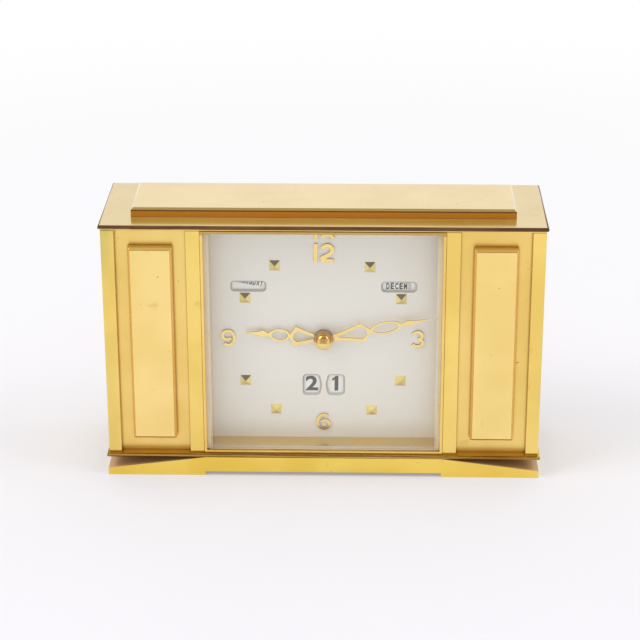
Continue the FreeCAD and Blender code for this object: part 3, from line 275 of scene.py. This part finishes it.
def eased_copy(node, body, width, finish, segments=3, sharpest=25.0, shortest=0.0):
    """A copy of a solid whose sharp edges are rounded over: its loose triangles are merged,
    flat faces are joined, and each edge sharper than so many degrees gets a round of this
    width, unless it is shorter than the shortest."""
    mesh = nodes[node].data.copy()
    mesh.name = node + "_eased"
    for left_over in ("custom_normal", "sharp_face", "sharp_edge"):
        if left_over in mesh.attributes:
            mesh.attributes.remove(mesh.attributes[left_over])
    form = bmesh.new()
    form.from_mesh(mesh)
    bmesh.ops.remove_doubles(form, verts=form.verts, dist=2e-6)
    bmesh.ops.dissolve_limit(
        form, angle_limit=math.radians(0.6), verts=form.verts, edges=form.edges
    )
    weight = form.edges.layers.float.new("bevel_weight_edge")
    for edge in form.edges:
        sharp = edge.is_manifold and edge.calc_face_angle() > math.radians(sharpest)
        edge[weight] = 1.0 if sharp and edge.calc_length() > shortest else 0.0
        edge.smooth = not sharp
    form.to_mesh(mesh)
    form.free()
    mesh.polygons.foreach_set("use_smooth", np.ones(len(mesh.polygons), bool))
    mesh.materials.clear()
    mesh.materials.append(finish)
    piece = into_scene(node + "_eased", mesh)
    bevel = piece.modifiers.new("eased edges", "BEVEL")
    bevel.width = width
    bevel.segments = segments
    bevel.limit_method = "WEIGHT"
    bevel.harden_normals = True
    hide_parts(node)
    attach(piece, body)


def plinth_inside_shade(finish, spot, facing, metal):
    """Painted shade: the sloping tops of the plinth's ends, which lie under the base plate, and
    the faces inside it, painted a dull brown with the metal taken out. A face lies inside where it
    looks to the middle of the plinth."""
    top = finish.eased(finish.part(facing, "Z"), 0.3, 0.6)
    outwards = finish.node("ShaderNodeVectorMath", {"operation": "DOT_PRODUCT"}, {
        0: finish.node("ShaderNodeVectorMath", {"operation": "MULTIPLY"}, {
            0: spot, 1: (1.0, 3.3, 0.0)
        }),
        1: facing,
    }, "Value")
    inside = 1.0 - finish.eased(outwards, -0.06, -0.03)
    metal = finish.mixed(inside * 0.9, metal, tint(200, 156, 104))
    metal = finish.mixed(top * 0.92, metal, tint(204, 160, 112))
    return metal, 1.0 - (1.0 - top) * (1.0 - inside)


# Painted shade: the plinth's inside and sloping tops are painted dull brown, and its own corners
# are darkened as far as 14 mm.
plinth_brass = lacquered_brass(
    "plinth_brass", tint(252, 220, 106), tint(242, 206, 88), ALONG, reach=14.0 * MM,
    own_corners=True, tarnish_or_shade=plinth_inside_shade, corner_shade_tint=tint(168, 120, 60), cracks=0.45
)
eased_copy("plinth", "case", 0.25 * MM, plinth_brass)

# Base plate. A flat brass plate between the plinth and the walls, polished on top, where it
# mirrors the fields, with a rounded front edge.


def shoulder_shade(finish, spot, facing, metal):
    """Painted shade: the upper shoulder of a plate's rounded edge, painted a dark brown."""
    upper = finish.part(facing, "Z")
    lean = finish.eased(upper, 0.08, 0.24) * (1.0 - finish.eased(upper, 0.80, 0.95))
    shade_depth = 0.84 + finish.eased(finish.noise(spot, 55.0, 3.0), 0.35, 0.6) * 0.14
    return finish.mixed(lean * shade_depth, metal, tint(70, 40, 6)), lean


# Painted shade on the base plate's rounded front edge.
base_brass = lacquered_brass(
    "base_brass", tint(226, 182, 78), tint(212, 166, 62), ALONG, roughness=0.12,
    reach=0.5 * MM, tarnish_or_shade=shoulder_shade
)
eased_copy("base_plate", "case", 0.95 * MM, base_brass, segments=6, shortest=20.0 * MM)

# Roof. A flat plate that stands out over the front and carries a lower raised panel with
# chamfered edges; both are brass, the panel rubbed paler than the plate.


def nose_shade(finish, spot, facing, metal):
    """Painted shade: the roof plate's rounded edges and upright faces, painted a dark brown
    wherever they look neither straight up nor straight down.
    """
    upper = finish.part(facing, "Z")
    lean = finish.eased(upper, -0.94, -0.84) * (1.0 - finish.eased(upper, 0.86, 0.96))
    shade_depth = 0.88 + finish.eased(finish.noise(spot, 40.0, 3.0), 0.35, 0.6) * 0.1
    return finish.mixed(lean * shade_depth, metal, tint(92, 50, 12)), lean


def front_light_and_shade(finish, spot, facing, metal):
    """Painted reflection and shade on the raised roof panel: its upright edge painted a deep
    orange, with a painted dark line under its chamfer, and the chamfer painted olive. The orange
    is shown to camera rays only, so the plate round it hardly mirrors it."""
    upper = finish.part(facing, "Z")
    upright = 1.0 - finish.eased(upper, 0.3, 0.6)
    chamfer = finish.eased(upper, 0.3, 0.6) * (1.0 - finish.eased(upper, 0.86, 0.96))
    line_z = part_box("roof_panel")[1].z - 1.45 * MM
    line = upright * finish.eased(finish.part(spot, "Z"), line_z - 0.5 * MM, line_z)
    straight = finish.ray("Camera")
    # Painted reflection: the upright edge goes deep orange for camera rays; painted shade: a dark
    # line under the chamfer.
    metal = finish.mixed(upright * (0.06 + straight * 0.89), metal, tint(206, 132, 4))
    metal = finish.mixed(line * straight * 0.95, metal, tint(92, 50, 2))
    return finish.mixed(chamfer * 0.8, metal, tint(222, 190, 112)), upright * straight * 0.6


# Painted shade on the roof plate's rounded edges and upright faces.
roof_brass = lacquered_brass(
    "roof_brass", tint(228, 197, 114), tint(218, 186, 98), ALONG, roughness=0.2,
    reach=0.5 * MM, coat=1.0, coat_ior=1.75, tarnish_or_shade=nose_shade
)
eased_copy("roof_plate", "case", 1.0 * MM, roof_brass, segments=6, shortest=20.0 * MM)
panel_brass = lacquered_brass(
    "panel_brass", tint(240, 208, 128), tint(232, 198, 112), ALONG, roughness=0.18,
    reach=0.5 * MM, coat=1.0, coat_ior=1.75, tarnish_or_shade=front_light_and_shade
)
eased_copy("roof_panel", "case", 0.15 * MM, panel_brass)

# Side walls. Brass sheet, brushed upright, between the base plate and the roof. Each is folded
# in at the back to carry the rear cover.

wall_brass = lacquered_brass("wall_brass", tint(238, 204, 112), tint(226, 190, 96), UPRIGHT)
for wall in ("side_wall_left", "side_wall_right"):
    eased_copy(wall, "case", 0.25 * MM, wall_brass)

# Recessed fields. Sheet brass behind the strips, left and right of the window, brushed upright
# and left duller than the strips round it.


def dress(finish, *names):
    """Gives solids that keep their shape a finish."""
    for name in names:
        materials = nodes[name].data.materials
        materials.clear()
        materials.append(finish)


field_brass = lacquered_brass(
    "field_brass", tint(250, 216, 130), tint(240, 204, 112), UPRIGHT, roughness=0.34
)
dress(field_brass, "field_panel_left", "field_panel_right")

# Front trim. Four upright strips and the narrow cornice strip under the roof, cut from
# brass bar; the left outer strip has gone a little green.


def greened(finish, spot, facing, metal):
    """The left outer strip, which has gone green in soft patches, most of all at its top."""
    outer = finish.eased(-finish.part(spot, "X"), 0.098, 0.105)
    patches = finish.eased(finish.noise(finish.place((1.0, 1.0, 0.4)), 40.0, 3.0), 0.36, 0.62)
    high = finish.eased(finish.part(spot, "Z"), 0.06, 0.12)
    share = outer * patches * (0.2 + high * 0.32)
    return finish.mixed(share, metal, tint(196, 184, 102)), share


strip_brass = lacquered_brass(
    "strip_brass", tint(251, 218, 122), tint(240, 206, 108), UPRIGHT, reach=0.8 * MM,
    tarnish_or_shade=greened
)
eased_copy("front_trim", "case", 0.25 * MM, strip_brass)

# Raised panels. Brass blocks with chamfered edges, fixed in the middle of each field. Their
# flat faces are brushed upright; the chamfers carry painted reflection and shade in orange and
# olive.


def chamfer_light_and_shade(finish, spot, facing, metal):
    """Painted reflection and shade on a raised panel: its chamfers painted orange at the sides and
    below and olive above, and its flat face left clean but for a painted dark line at its top."""
    slope = 1.0 - finish.eased(-finish.part(facing, "Y"), 0.80, 0.97)
    above = finish.eased(finish.part(facing, "Z"), 0.2, 0.5)
    # Painted reflection: orange on the chamfers at the sides and below, olive above.
    stain_or_reflection = finish.mixed(above, tint(224, 158, 34), tint(246, 190, 62))
    edge_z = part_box("raised_panels")[1].z - 1.5 * MM
    line = finish.eased(finish.part(spot, "Z"), edge_z, edge_z + 0.4 * MM) * (1.0 - slope)
    metal = finish.mixed(line * 0.8, metal, tint(96, 66, 24))
    return finish.mixed(slope * 0.6, metal, stain_or_reflection), slope * 0.4


block_brass = lacquered_brass(
    "block_brass", tint(254, 224, 146), tint(247, 215, 132), UPRIGHT, roughness=0.2,
    tarnish_or_shade=chamfer_light_and_shade
)
eased_copy("raised_panels", "case", 0.12 * MM, block_brass)

# Bezel. A thin square frame of polished brass round the window, between the two inner strips.
# It holds the glass by a lip.


def top_shade(finish, spot, facing, metal):
    """Painted shade: the bezel's top bar, which lies in the roof's shade, painted a dull brown."""
    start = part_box("bezel")[1].z - 2.2 * MM
    share = finish.eased(finish.part(spot, "Z"), start, start + 0.3 * MM)
    return finish.mixed(share * 0.75, metal, tint(184, 146, 78)), share * 0.3


bezel_brass = lacquered_brass(
    "bezel_brass", tint(250, 214, 122), tint(240, 200, 104), UPRIGHT, roughness=0.1,
    tarnish_or_shade=top_shade
)
eased_copy("bezel", "case", 0.22 * MM, bezel_brass)

# Crystal. Plate glass with a wide polished bevel round its front and ground edges, set into
# the bezel; lamps shine through it.

crystal = Finish(bpy.data.materials.new("crystal"))
pane = crystal.surface({
    "Base Color": (0.985, 0.992, 0.985, 1.0),
    "Roughness": 0.0,
    "IOR": 1.5,
    "Transmission Weight": 1.0,
    "Normal": crystal.relief(crystal.noise(crystal.place(), 60.0), 0.02, 0.1 * MM),
})
clear = crystal.node("ShaderNodeBsdfTransparent", {}, {"Color": (0.97, 0.975, 0.97, 1.0)})
lamp_light = crystal.ray("Shadow") + crystal.ray("Diffuse")
plate = crystal.node("ShaderNodeMixShader", {}, {0: lamp_light, 1: pane, 2: clear})
ground = crystal.surface({
    "Base Color": crystal.mixed(
        crystal.noise(crystal.place(), 300.0), tint(206, 178, 122), tint(220, 194, 140)
    ),
    "Roughness": 0.6,
})
to_pane = abs(crystal.part(crystal.facing("True Normal"), "Y"))
edge_share = 1.0 - crystal.eased(to_pane, 0.05, 0.2)
crystal.close(crystal.node("ShaderNodeMixShader", {}, {0: edge_share, 1: plate, 2: ground}))
dress(crystal.owner, "crystal")

# Well. The sheet surround between the glass and the dial, folded with a lip under the glass.
# It is gilt and polished inside, so that its floor mirrors the dial.

gilding = Finish(bpy.data.materials.new("well_gilt"))
lines = gilding.noise(gilding.place(ALONG), 90.0, 3.0)
lip = gilding.eased(-gilding.part(gilding.facing(), "Y"), 0.5, 0.8)
gilding.close(gilding.surface({
    "Base Color": gilding.mixed(
        lip, gilding.mixed(lines, tint(216, 184, 108), tint(232, 200, 124)), tint(255, 238, 204)
    ),
    "Metallic": 0.75 - lip * 0.75,
    "Roughness": 0.09 + (lines - 0.5) * 0.06 + lip * 0.25,
}))
dress(gilding.owner, "dial_surround")

# Dial. A brass plate behind the well, silvered and rubbed along the clock to a soft sheen, with
# four windows whose rims are chamfered and painted darker as shade.

silver = Finish(bpy.data.materials.new("dial_silver"))
rub = silver.noise(silver.place(ALONG), 120.0, 3.0)
bloom = silver.noise(silver.place(), 14.0, 3.0)
# Painted shade: the window rims, which do not look to the front, are painted a grey brown.
rim_shade = 1.0 - silver.eased(-silver.part(silver.facing(), "Y"), 0.80, 0.98)
silver.close(silver.surface({
    "Base Color": silver.mixed(
        rim_shade * 0.55, silver.mixed(bloom, tint(246, 242, 233), tint(251, 247, 239)),
        tint(150, 146, 126),
    ),
    "Metallic": 0.12,
    "Roughness": 0.34 + (rub - 0.5) * 0.08,
    "Normal": silver.relief(rub, 0.05, 0.03 * MM),
}))
dress(silver.owner, "dial_plate")

# Numerals and hour markers. Polished brass figures with rounded edges, and small brass
# pyramids, fixed to the face of the dial.


def edge_shade(finish, spot, facing, metal):
    """Painted shade: the rounded edges that look upwards, painted brown."""
    share = finish.eased(finish.part(facing, "Z"), 0.08, 0.3) * 0.9
    return finish.mixed(share, metal, tint(112, 70, 14)), share


def shaded_facet(finish, spot, facing, metal):
    """Painted shade: the markers' upper facets, painted dark on the markers that stand high and to
    the left on the dial.
    """
    upper = finish.eased(finish.part(facing, "Z"), 0.2, 0.4)
    high = finish.eased(finish.part(spot, "Z") - finish.part(spot, "X") * 0.35, 0.040, 0.055)
    return finish.mixed(upper * high * 0.95, metal, tint(100, 78, 42)), upper


# Painted shade on the upward edges of the numerals and hands.
gilt = lacquered_brass(
    "gilt", tint(255, 226, 144), tint(249, 216, 126), ALONG, roughness=0.16, specks=0.1,
    tarnish_or_shade=edge_shade
)
eased_copy("numerals", "case", 0.24 * MM, gilt)
marker_gilt = lacquered_brass(
    "marker_gilt", tint(255, 234, 146), tint(255, 230, 138), ALONG, roughness=0.4, specks=0.0,
    reach=0.1 * MM, tarnish_or_shade=shaded_facet, metallic=0.12
)
dress(marker_gilt, "hour_markers")

# Hands. Pierced and pressed from thin brass, with rounded edges and polished faces, under a
# domed nut that is turned and polished bright.


def nut_light_and_shade(finish, spot, facing, metal):
    """Painted light and shade on the nut: its lower half painted pale as a highlight, and its
    upper half painted brown round the rim and in the middle."""
    front = -finish.part(facing, "Y")
    lower = 1.0 - finish.eased(finish.part(facing, "Z"), -0.03, 0.05)
    rim = 1.0 - finish.eased(front, 0.3, 0.62)
    heart = finish.eased(front, 0.88, 0.97)
    metal = finish.mixed(rim * 0.75, metal, tint(150, 92, 14))
    metal = finish.mixed(heart * 0.6, metal, tint(150, 112, 50))
    return finish.mixed(lower * 0.92, metal, tint(255, 228, 140)), lower


eased_copy("hour_hand", "hour_work", 0.4 * MM, gilt, segments=4)
eased_copy("minute_hand", "minute_work", 0.32 * MM, gilt, segments=4)
nut_brass = lacquered_brass(
    "nut_brass", tint(250, 204, 90), tint(240, 190, 72), ALONG, roughness=0.08, specks=0.1,
    tarnish_or_shade=nut_light_and_shade
)
dress(nut_brass, "hand_nut")
dome = nodes["hand_nut"].data.polygons
dome.foreach_set("use_smooth", np.ones(len(dome), bool))

# Calendar discs. White enamelled discs behind the windows, printed with words that run along
# the radius and with figures for the date; each turns with its own knob.

white = tint(250, 248, 240)
enamel = Finish(bpy.data.materials.new("enamel"))
mottle = enamel.noise(enamel.place(), 220.0, 3.0)
enamel.close(enamel.surface({
    "Base Color": enamel.mixed(mottle, white, tint(254, 253, 247)),
    "Roughness": 0.42 + mottle * 0.1,
}))
dress(enamel.owner, "day_disc", "month_disc", "date_tens_disc", "date_units_disc")
ink = Finish(bpy.data.materials.new("ink"))
ink.close(ink.surface({
    "Base Color": ink.mixed(ink.noise(ink.place(), 900.0), tint(70, 71, 74), tint(96, 97, 100)),
    "Roughness": 0.55,
}))


def disc_middle(disc):
    """The middle of a disc's printed face, which is its front."""
    low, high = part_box(disc)
    return (low.x + high.x) / 2, low.y, (low.z + high.z) / 2


# The month's ink fades to the disc's white in two steps along the word that shows at rest, from
# its sixth letter on.
faded_ink = Finish(bpy.data.materials.new("faded_ink"))
month_x, _, month_z = disc_middle("month_disc")
from_middle = faded_ink.node("ShaderNodeVectorMath", {"operation": "SUBTRACT"}, {
    0: faded_ink.place((1.0, 0.0, 1.0)), 1: (month_x, 0.0, month_z)
})
far_out = faded_ink.part(from_middle, "X")
off_line = abs(faded_ink.part(from_middle, "Z"))
on_word = 1.0 - faded_ink.eased(off_line, 2.0 * MM, 2.4 * MM)
fade_share = faded_ink.eased(far_out, 16.7 * MM, 17.1 * MM) * 0.62
fade_share = (fade_share + faded_ink.eased(far_out, 18.8 * MM, 19.2 * MM) * 0.33) * on_word
fresh = faded_ink.mixed(
    faded_ink.noise(faded_ink.place(), 900.0), tint(52, 54, 57), tint(78, 80, 83)
)
faded_ink.close(faded_ink.surface({
    "Base Color": faded_ink.mixed(fade_share, fresh, white),
    "Roughness": 0.55,
}))


def lettering_curve(letter, weight):
    """The outline of a letter; the figure 1 is drawn from listed corners, a stem with a flag."""
    if letter != "1":
        curve = bpy.data.curves.new(letter, "FONT")
        curve.body = letter
        curve.offset = weight
    else:
        curve = bpy.data.curves.new(letter, "CURVE")
        curve.dimensions = "2D"
        curve.fill_mode = "BOTH"
        corners = [
            (0.4, 0.0), (1.0, 0.0), (1.0, 3.0), (0.52, 3.0),
            (0.38, 2.7), (0.0, 2.48), (0.0, 2.0), (0.4, 2.22),
        ]
        outline = curve.splines.new("POLY")
        outline.points.add(len(corners) - 1)
        for point, corner in zip(outline.points, corners):
            point.co = (*corner, 0.0, 1.0)
        outline.use_cyclic_u = True
    curve.resolution_u = 5
    curve.extrude = 0.01
    return curve


def letter_form(letter, weight):
    """A letter's corners, the row of corners that its faces run through one after the other, and
    the number of corners of each face. The corners are moved and scaled along each axis, so that
    they reach from -0.5 to 0.5."""
    lettering = into_scene(letter, lettering_curve(letter, weight))
    bpy.context.view_layer.update()
    shape = bpy.data.meshes.new_from_object(
        lettering.evaluated_get(bpy.context.evaluated_depsgraph_get())
    )
    bpy.data.objects.remove(lettering)
    corners = np.empty(len(shape.vertices) * 3)
    shape.vertices.foreach_get("co", corners)
    corners = corners.reshape(-1, 3)
    row = np.empty(len(shape.loops), int)
    shape.loops.foreach_get("vertex_index", row)
    counts = np.empty(len(shape.polygons), int)
    shape.polygons.foreach_get("loop_total", counts)
    bpy.data.meshes.remove(shape)
    low, high = corners.min(axis=0), corners.max(axis=0)
    return (corners - (low + high) / 2) / (high - low), row, counts


def printed_disc(name, disc, body, weight, words, print_ink=ink.owner):
    """Words printed on a disc, as thin raised ink. Each entry gives the word, its letters'
    height, width and spacing, the radius of its middle, the angle where it lies and 1 or -1 for
    outwards or inwards reading, in millimetres and degrees. The letters stand in equal cells. A
    point (u, v) of a letter goes to the disc's centre, then along the radius by its cell's place
    plus reading times u, and across the radius by v, all turned by the angle."""
    middle_x, face_y, middle_z = disc_middle(disc)
    ink_depth = 0.03 * MM
    corners, rows, counts, start = [], [], [], 0
    for word, height, width, spacing, radius, angle, reading in words:
        turned = math.radians(angle)
        out = np.array([math.cos(turned), math.sin(turned)])
        read = out * reading
        side = np.array([-read[1], read[0]])
        for cell, letter in enumerate(word):
            form, row, face_counts = letter_form(letter, weight)
            reach = radius + reading * (cell - (len(word) - 1) / 2) * spacing
            u, v, rise = form[:, 0] * width, form[:, 1] * height, form[:, 2]
            plane = out * reach + u[:, None] * read + v[:, None] * side
            corners.append(np.column_stack((
                middle_x + plane[:, 0] * MM,
                face_y - (rise + 0.5) * ink_depth,
                middle_z + plane[:, 1] * MM,
            )))
            rows.append(start + row)
            counts.append(face_counts)
            start += len(form)
    ends = np.cumsum(np.concatenate(counts))[:-1]
    mesh = bpy.data.meshes.new(name)
    mesh.from_pydata(np.vstack(corners), [], np.split(np.concatenate(rows), ends))
    mesh.materials.append(print_ink)
    form = bmesh.new()
    form.from_mesh(mesh)
    bmesh.ops.remove_doubles(form, verts=form.verts, dist=1e-7)
    bmesh.ops.recalc_face_normals(form, faces=form.faces)
    form.to_mesh(mesh)
    form.free()
    piece = into_scene(name, mesh)
    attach(piece, body)


word_weight, figure_weight = 0.045, 0.03
days = ["SUNDAY", "MONDAY", "TUESDAY", "WEDNESDAY", "THURSDAY", "FRIDAY", "SATURDAY"]
day_shown, day_angle = days.index("THURSDAY"), 170.0
printed_disc("day_words", "day_disc", "day_indicator", word_weight, [
    (day, 3.5, 1.4, 1.75, 12.4, day_angle + (index - day_shown) * 360.0 / 7, -1)
    for index, day in enumerate(days)
])
months = [
    "JANUARY", "FEBRUARY", "MARCH", "APRIL", "MAY", "JUNE",
    "JULY", "AUGUST", "SEPTEMBER", "OCTOBER", "NOVEMBER", "DECEMBER",
]
widest_cell, disc_rim = 2.16, 23.3
month_entries = []
for index, month in enumerate(months):
    start = 6.0 if month == "DECEMBER" else 7.6
    cell = min(widest_cell, (disc_rim - start) / len(month))
    radius = start + cell * len(month) / 2
    month_entries.append((month, 3.3, cell * 0.76, cell, radius, (11 - index) * -30.0, 1))
printed_disc(
    "month_words", "month_disc", "month_indicator", word_weight, month_entries, faded_ink.owner
)


def ring_of_figures(figures, shown, radius, angle, step, reading):
    """One entry for each figure round a disc, each a step on from the last, so that the figure
    shown, which is counted from 0, lies at this angle. The figure 1 is half as wide."""
    return [
        (figure, 8.0, 3.1 if figure == "1" else 6.1, 0.0, radius, angle + turns * step, reading)
        for turns, figure in enumerate(figures, -shown)
    ]


printed_disc(
    "tens_figures", "date_tens_disc", "date_tens_indicator", figure_weight,
    ring_of_figures("01230123", 2, 18.5, 0.8, 45.0, 1)
)
printed_disc(
    "units_figures", "date_units_disc", "date_units_indicator", figure_weight,
    ring_of_figures("0123456789", 1, 18.8, 179.2, 36.0, -1)
)

# Movement and its stack. Plain brass plates and wheels, steel arbors, pinions and screws,
# a copper coil and a paper board, all behind the dial.

plain_brass = lacquered_brass(
    "plain_brass", tint(224, 190, 104), tint(208, 172, 88), ALONG, roughness=0.28
)
dress(
    plain_brass, "mounting_plate", "stack_spacers", "movement_front_plate", "movement_rear_plate",
    "movement_pillars", "centre_wheel", "third_wheel", "index_wheel", "hour_wheel", "minute_wheel",
    "balance_wheel", "battery_contacts",
)
steel = Finish(bpy.data.materials.new("steel"))
grind = steel.noise(steel.place(ALONG), 160.0, 3.0)
steel.close(steel.surface({
    "Base Color": steel.mixed(grind, tint(196, 197, 199), tint(216, 217, 218)),
    "Metallic": 1.0,
    "Roughness": 0.22 + grind * 0.12,
}))
dress(
    steel.owner, "stack_screws", "movement_screws", "case_screws", "corner_posts",
    "centre_arbor", "cannon_pinion", "balance_spring", "day_arbor", "month_arbor",
    "date_tens_arbor", "date_units_arbor", "door_pin", "cover_screws",
)


def coloured(name, light, deep, scale, roughness):
    """A plain painted, moulded or wound surface with a fine mottle and a slight relief."""
    finish = Finish(bpy.data.materials.new(name))
    grains = finish.noise(finish.place(), scale, 3.0)
    return finish.close(finish.surface({
        "Base Color": finish.mixed(grains, deep, light),
        "Roughness": roughness + (grains - 0.5) * 0.15,
        "Normal": finish.relief(grains, 0.2, 0.05 * MM),
    }))


dress(coloured("copper_winding", tint(186, 104, 52), tint(140, 70, 30), 900.0, 0.35), "drive_coil")
dress(coloured("board", tint(176, 132, 78), tint(150, 108, 60), 400.0, 0.6), "circuit_board")
dress(coloured("lead", tint(182, 40, 34), tint(160, 30, 26), 500.0, 0.4), "lead_wires")

# Battery holder, cell and door. A black moulded holder keeps one cell in a printed jacket, behind
# a brass door that swings down on a pinned hinge in the rear cover.

dress(coloured("holder_black", tint(48, 48, 50), tint(34, 34, 36), 700.0, 0.5), "battery_holder")
dress(coloured("cell_jacket", tint(58, 84, 132), tint(44, 66, 110), 300.0, 0.35), "battery_cell")
door_brass = lacquered_brass(
    "door_brass", tint(232, 198, 112), tint(220, 184, 96), UPRIGHT, roughness=0.2
)
eased_copy("battery_door", "door", 0.15 * MM, door_brass)

# Rear cover and its knobs. Brass sheet held by four screws, with turned and grooved knobs
# for the hands and for each calendar disc.

cover_brass = lacquered_brass(
    "cover_brass", tint(232, 198, 110), tint(218, 182, 94), ALONG, roughness=0.22
)
dress(cover_brass, "rear_cover")
knob_brass = lacquered_brass(
    "knob_brass", tint(238, 202, 112), tint(224, 186, 94), BACKWARD, roughness=0.16
)
for knob, turning in (
    ("hands_knob", "minute_work"),
    ("day_knob", "day_indicator"),
    ("month_knob", "month_indicator"),
    ("date_tens_knob", "date_tens_indicator"),
    ("date_units_knob", "date_units_indicator"),
):
    eased_copy(knob, turning, 0.1 * MM, knob_brass, segments=2, sharpest=40.0)

# Floor. Pale paper that fades to an even tone away from the clock and to white behind it, for
# the camera, metal and glass.

pure_white = (1.0, 1.0, 1.0, 1.0)
paper = Finish(bpy.data.materials.new("paper"))
spot = paper.place()
away = paper.node("ShaderNodeVectorMath", {"operation": "LENGTH"}, {0: spot}, "Value")
matt = paper.node("ShaderNodeBsdfDiffuse", {}, {
    "Color": paper.mixed(paper.noise(spot, 6.0), tint(240, 238, 241), tint(244, 242, 245))
})
seen = paper.ray("Camera")
before = seen * (1.0 - paper.eased(paper.part(spot, "Y"), 0.0, 0.24))
lit = paper.node("ShaderNodeEmission", {}, {
    "Color": paper.mixed(before, pure_white, tint(245, 244, 248)), "Strength": 1.0
})
shown_lit = seen + paper.ray("Glossy") + paper.ray("Transmission")
share = shown_lit * (0.28 + paper.eased(away, 0.18, 0.95) * 0.72)
paper.close(paper.node("ShaderNodeMixShader", {}, {0: share, 1: matt, 2: lit}))
reach = 8.0
floor_mesh = bpy.data.meshes.new("floor")
floor_mesh.from_pydata(
    [(-reach, -reach, 0.0), (reach, -reach, 0.0), (reach, reach, 0.0), (-reach, reach, 0.0)],
    [], [(0, 1, 2, 3)],
)
floor_mesh.materials.append(paper.owner)
into_scene("floor", floor_mesh)

# Light. A white room, darker high up behind the camera, and two soft boxes overhead. Metal and
# glass see that darker part; the height of a ray's way picks its brightness there.

world = bpy.data.worlds.new("room")
bpy.context.scene.world = world
room = Finish(world)
way = room.node("ShaderNodeTexCoord", {}, {}, "Generated")
to_front = -room.part(way, "Y") - abs(room.part(way, "X")) * 0.75
bands = room.node("ShaderNodeValToRGB", {"stops": [
    (0.0, (0.86, 0.85, 0.84, 1.0)),
    (0.12, (0.66, 0.60, 0.50, 1.0)),
    (0.50, (0.60, 0.52, 0.38, 1.0)),
    (0.57, (0.22, 0.165, 0.10, 1.0)),
    (0.84, (0.20, 0.15, 0.09, 1.0)),
    (0.93, (0.45, 0.41, 0.34, 1.0)),
    (1.0, (0.72, 0.71, 0.69, 1.0)),
]}, {0: room.part(way, "Z")})
mirror_room = room.mixed(room.eased(to_front, -0.05, 0.12), pure_white, bands)
plain_light = (0.80, 0.805, 0.82, 1.0)
shade = room.mixed(room.ray("Glossy") + room.ray("Transmission"), plain_light, mirror_room)
shade = room.mixed(room.ray("Camera"), shade, pure_white)
room.close(room.node("ShaderNodeBackground", {}, {"Color": shade, "Strength": 1.0}))


def soft_box(name, place, aim, size, power):
    """A square lamp that points at aim."""
    lamp = bpy.data.lights.new(name, "AREA")
    lamp.shape = "SQUARE"
    lamp.size = size
    lamp.energy = power
    holder = into_scene(name, lamp)
    holder.location = place
    holder.rotation_euler = (Vector(aim) - Vector(place)).to_track_quat("-Z", "Y").to_euler()


low_in_clock = (0.0, 0.0, 0.05)
soft_box("left_box", (-1.1, -0.5, 1.5), low_in_clock, size=1.0, power=9.0)
soft_box("right_box", (1.2, -0.2, 1.4), low_in_clock, size=0.9, power=6.0)
bpy.context.scene.view_settings.view_transform = "Standard"
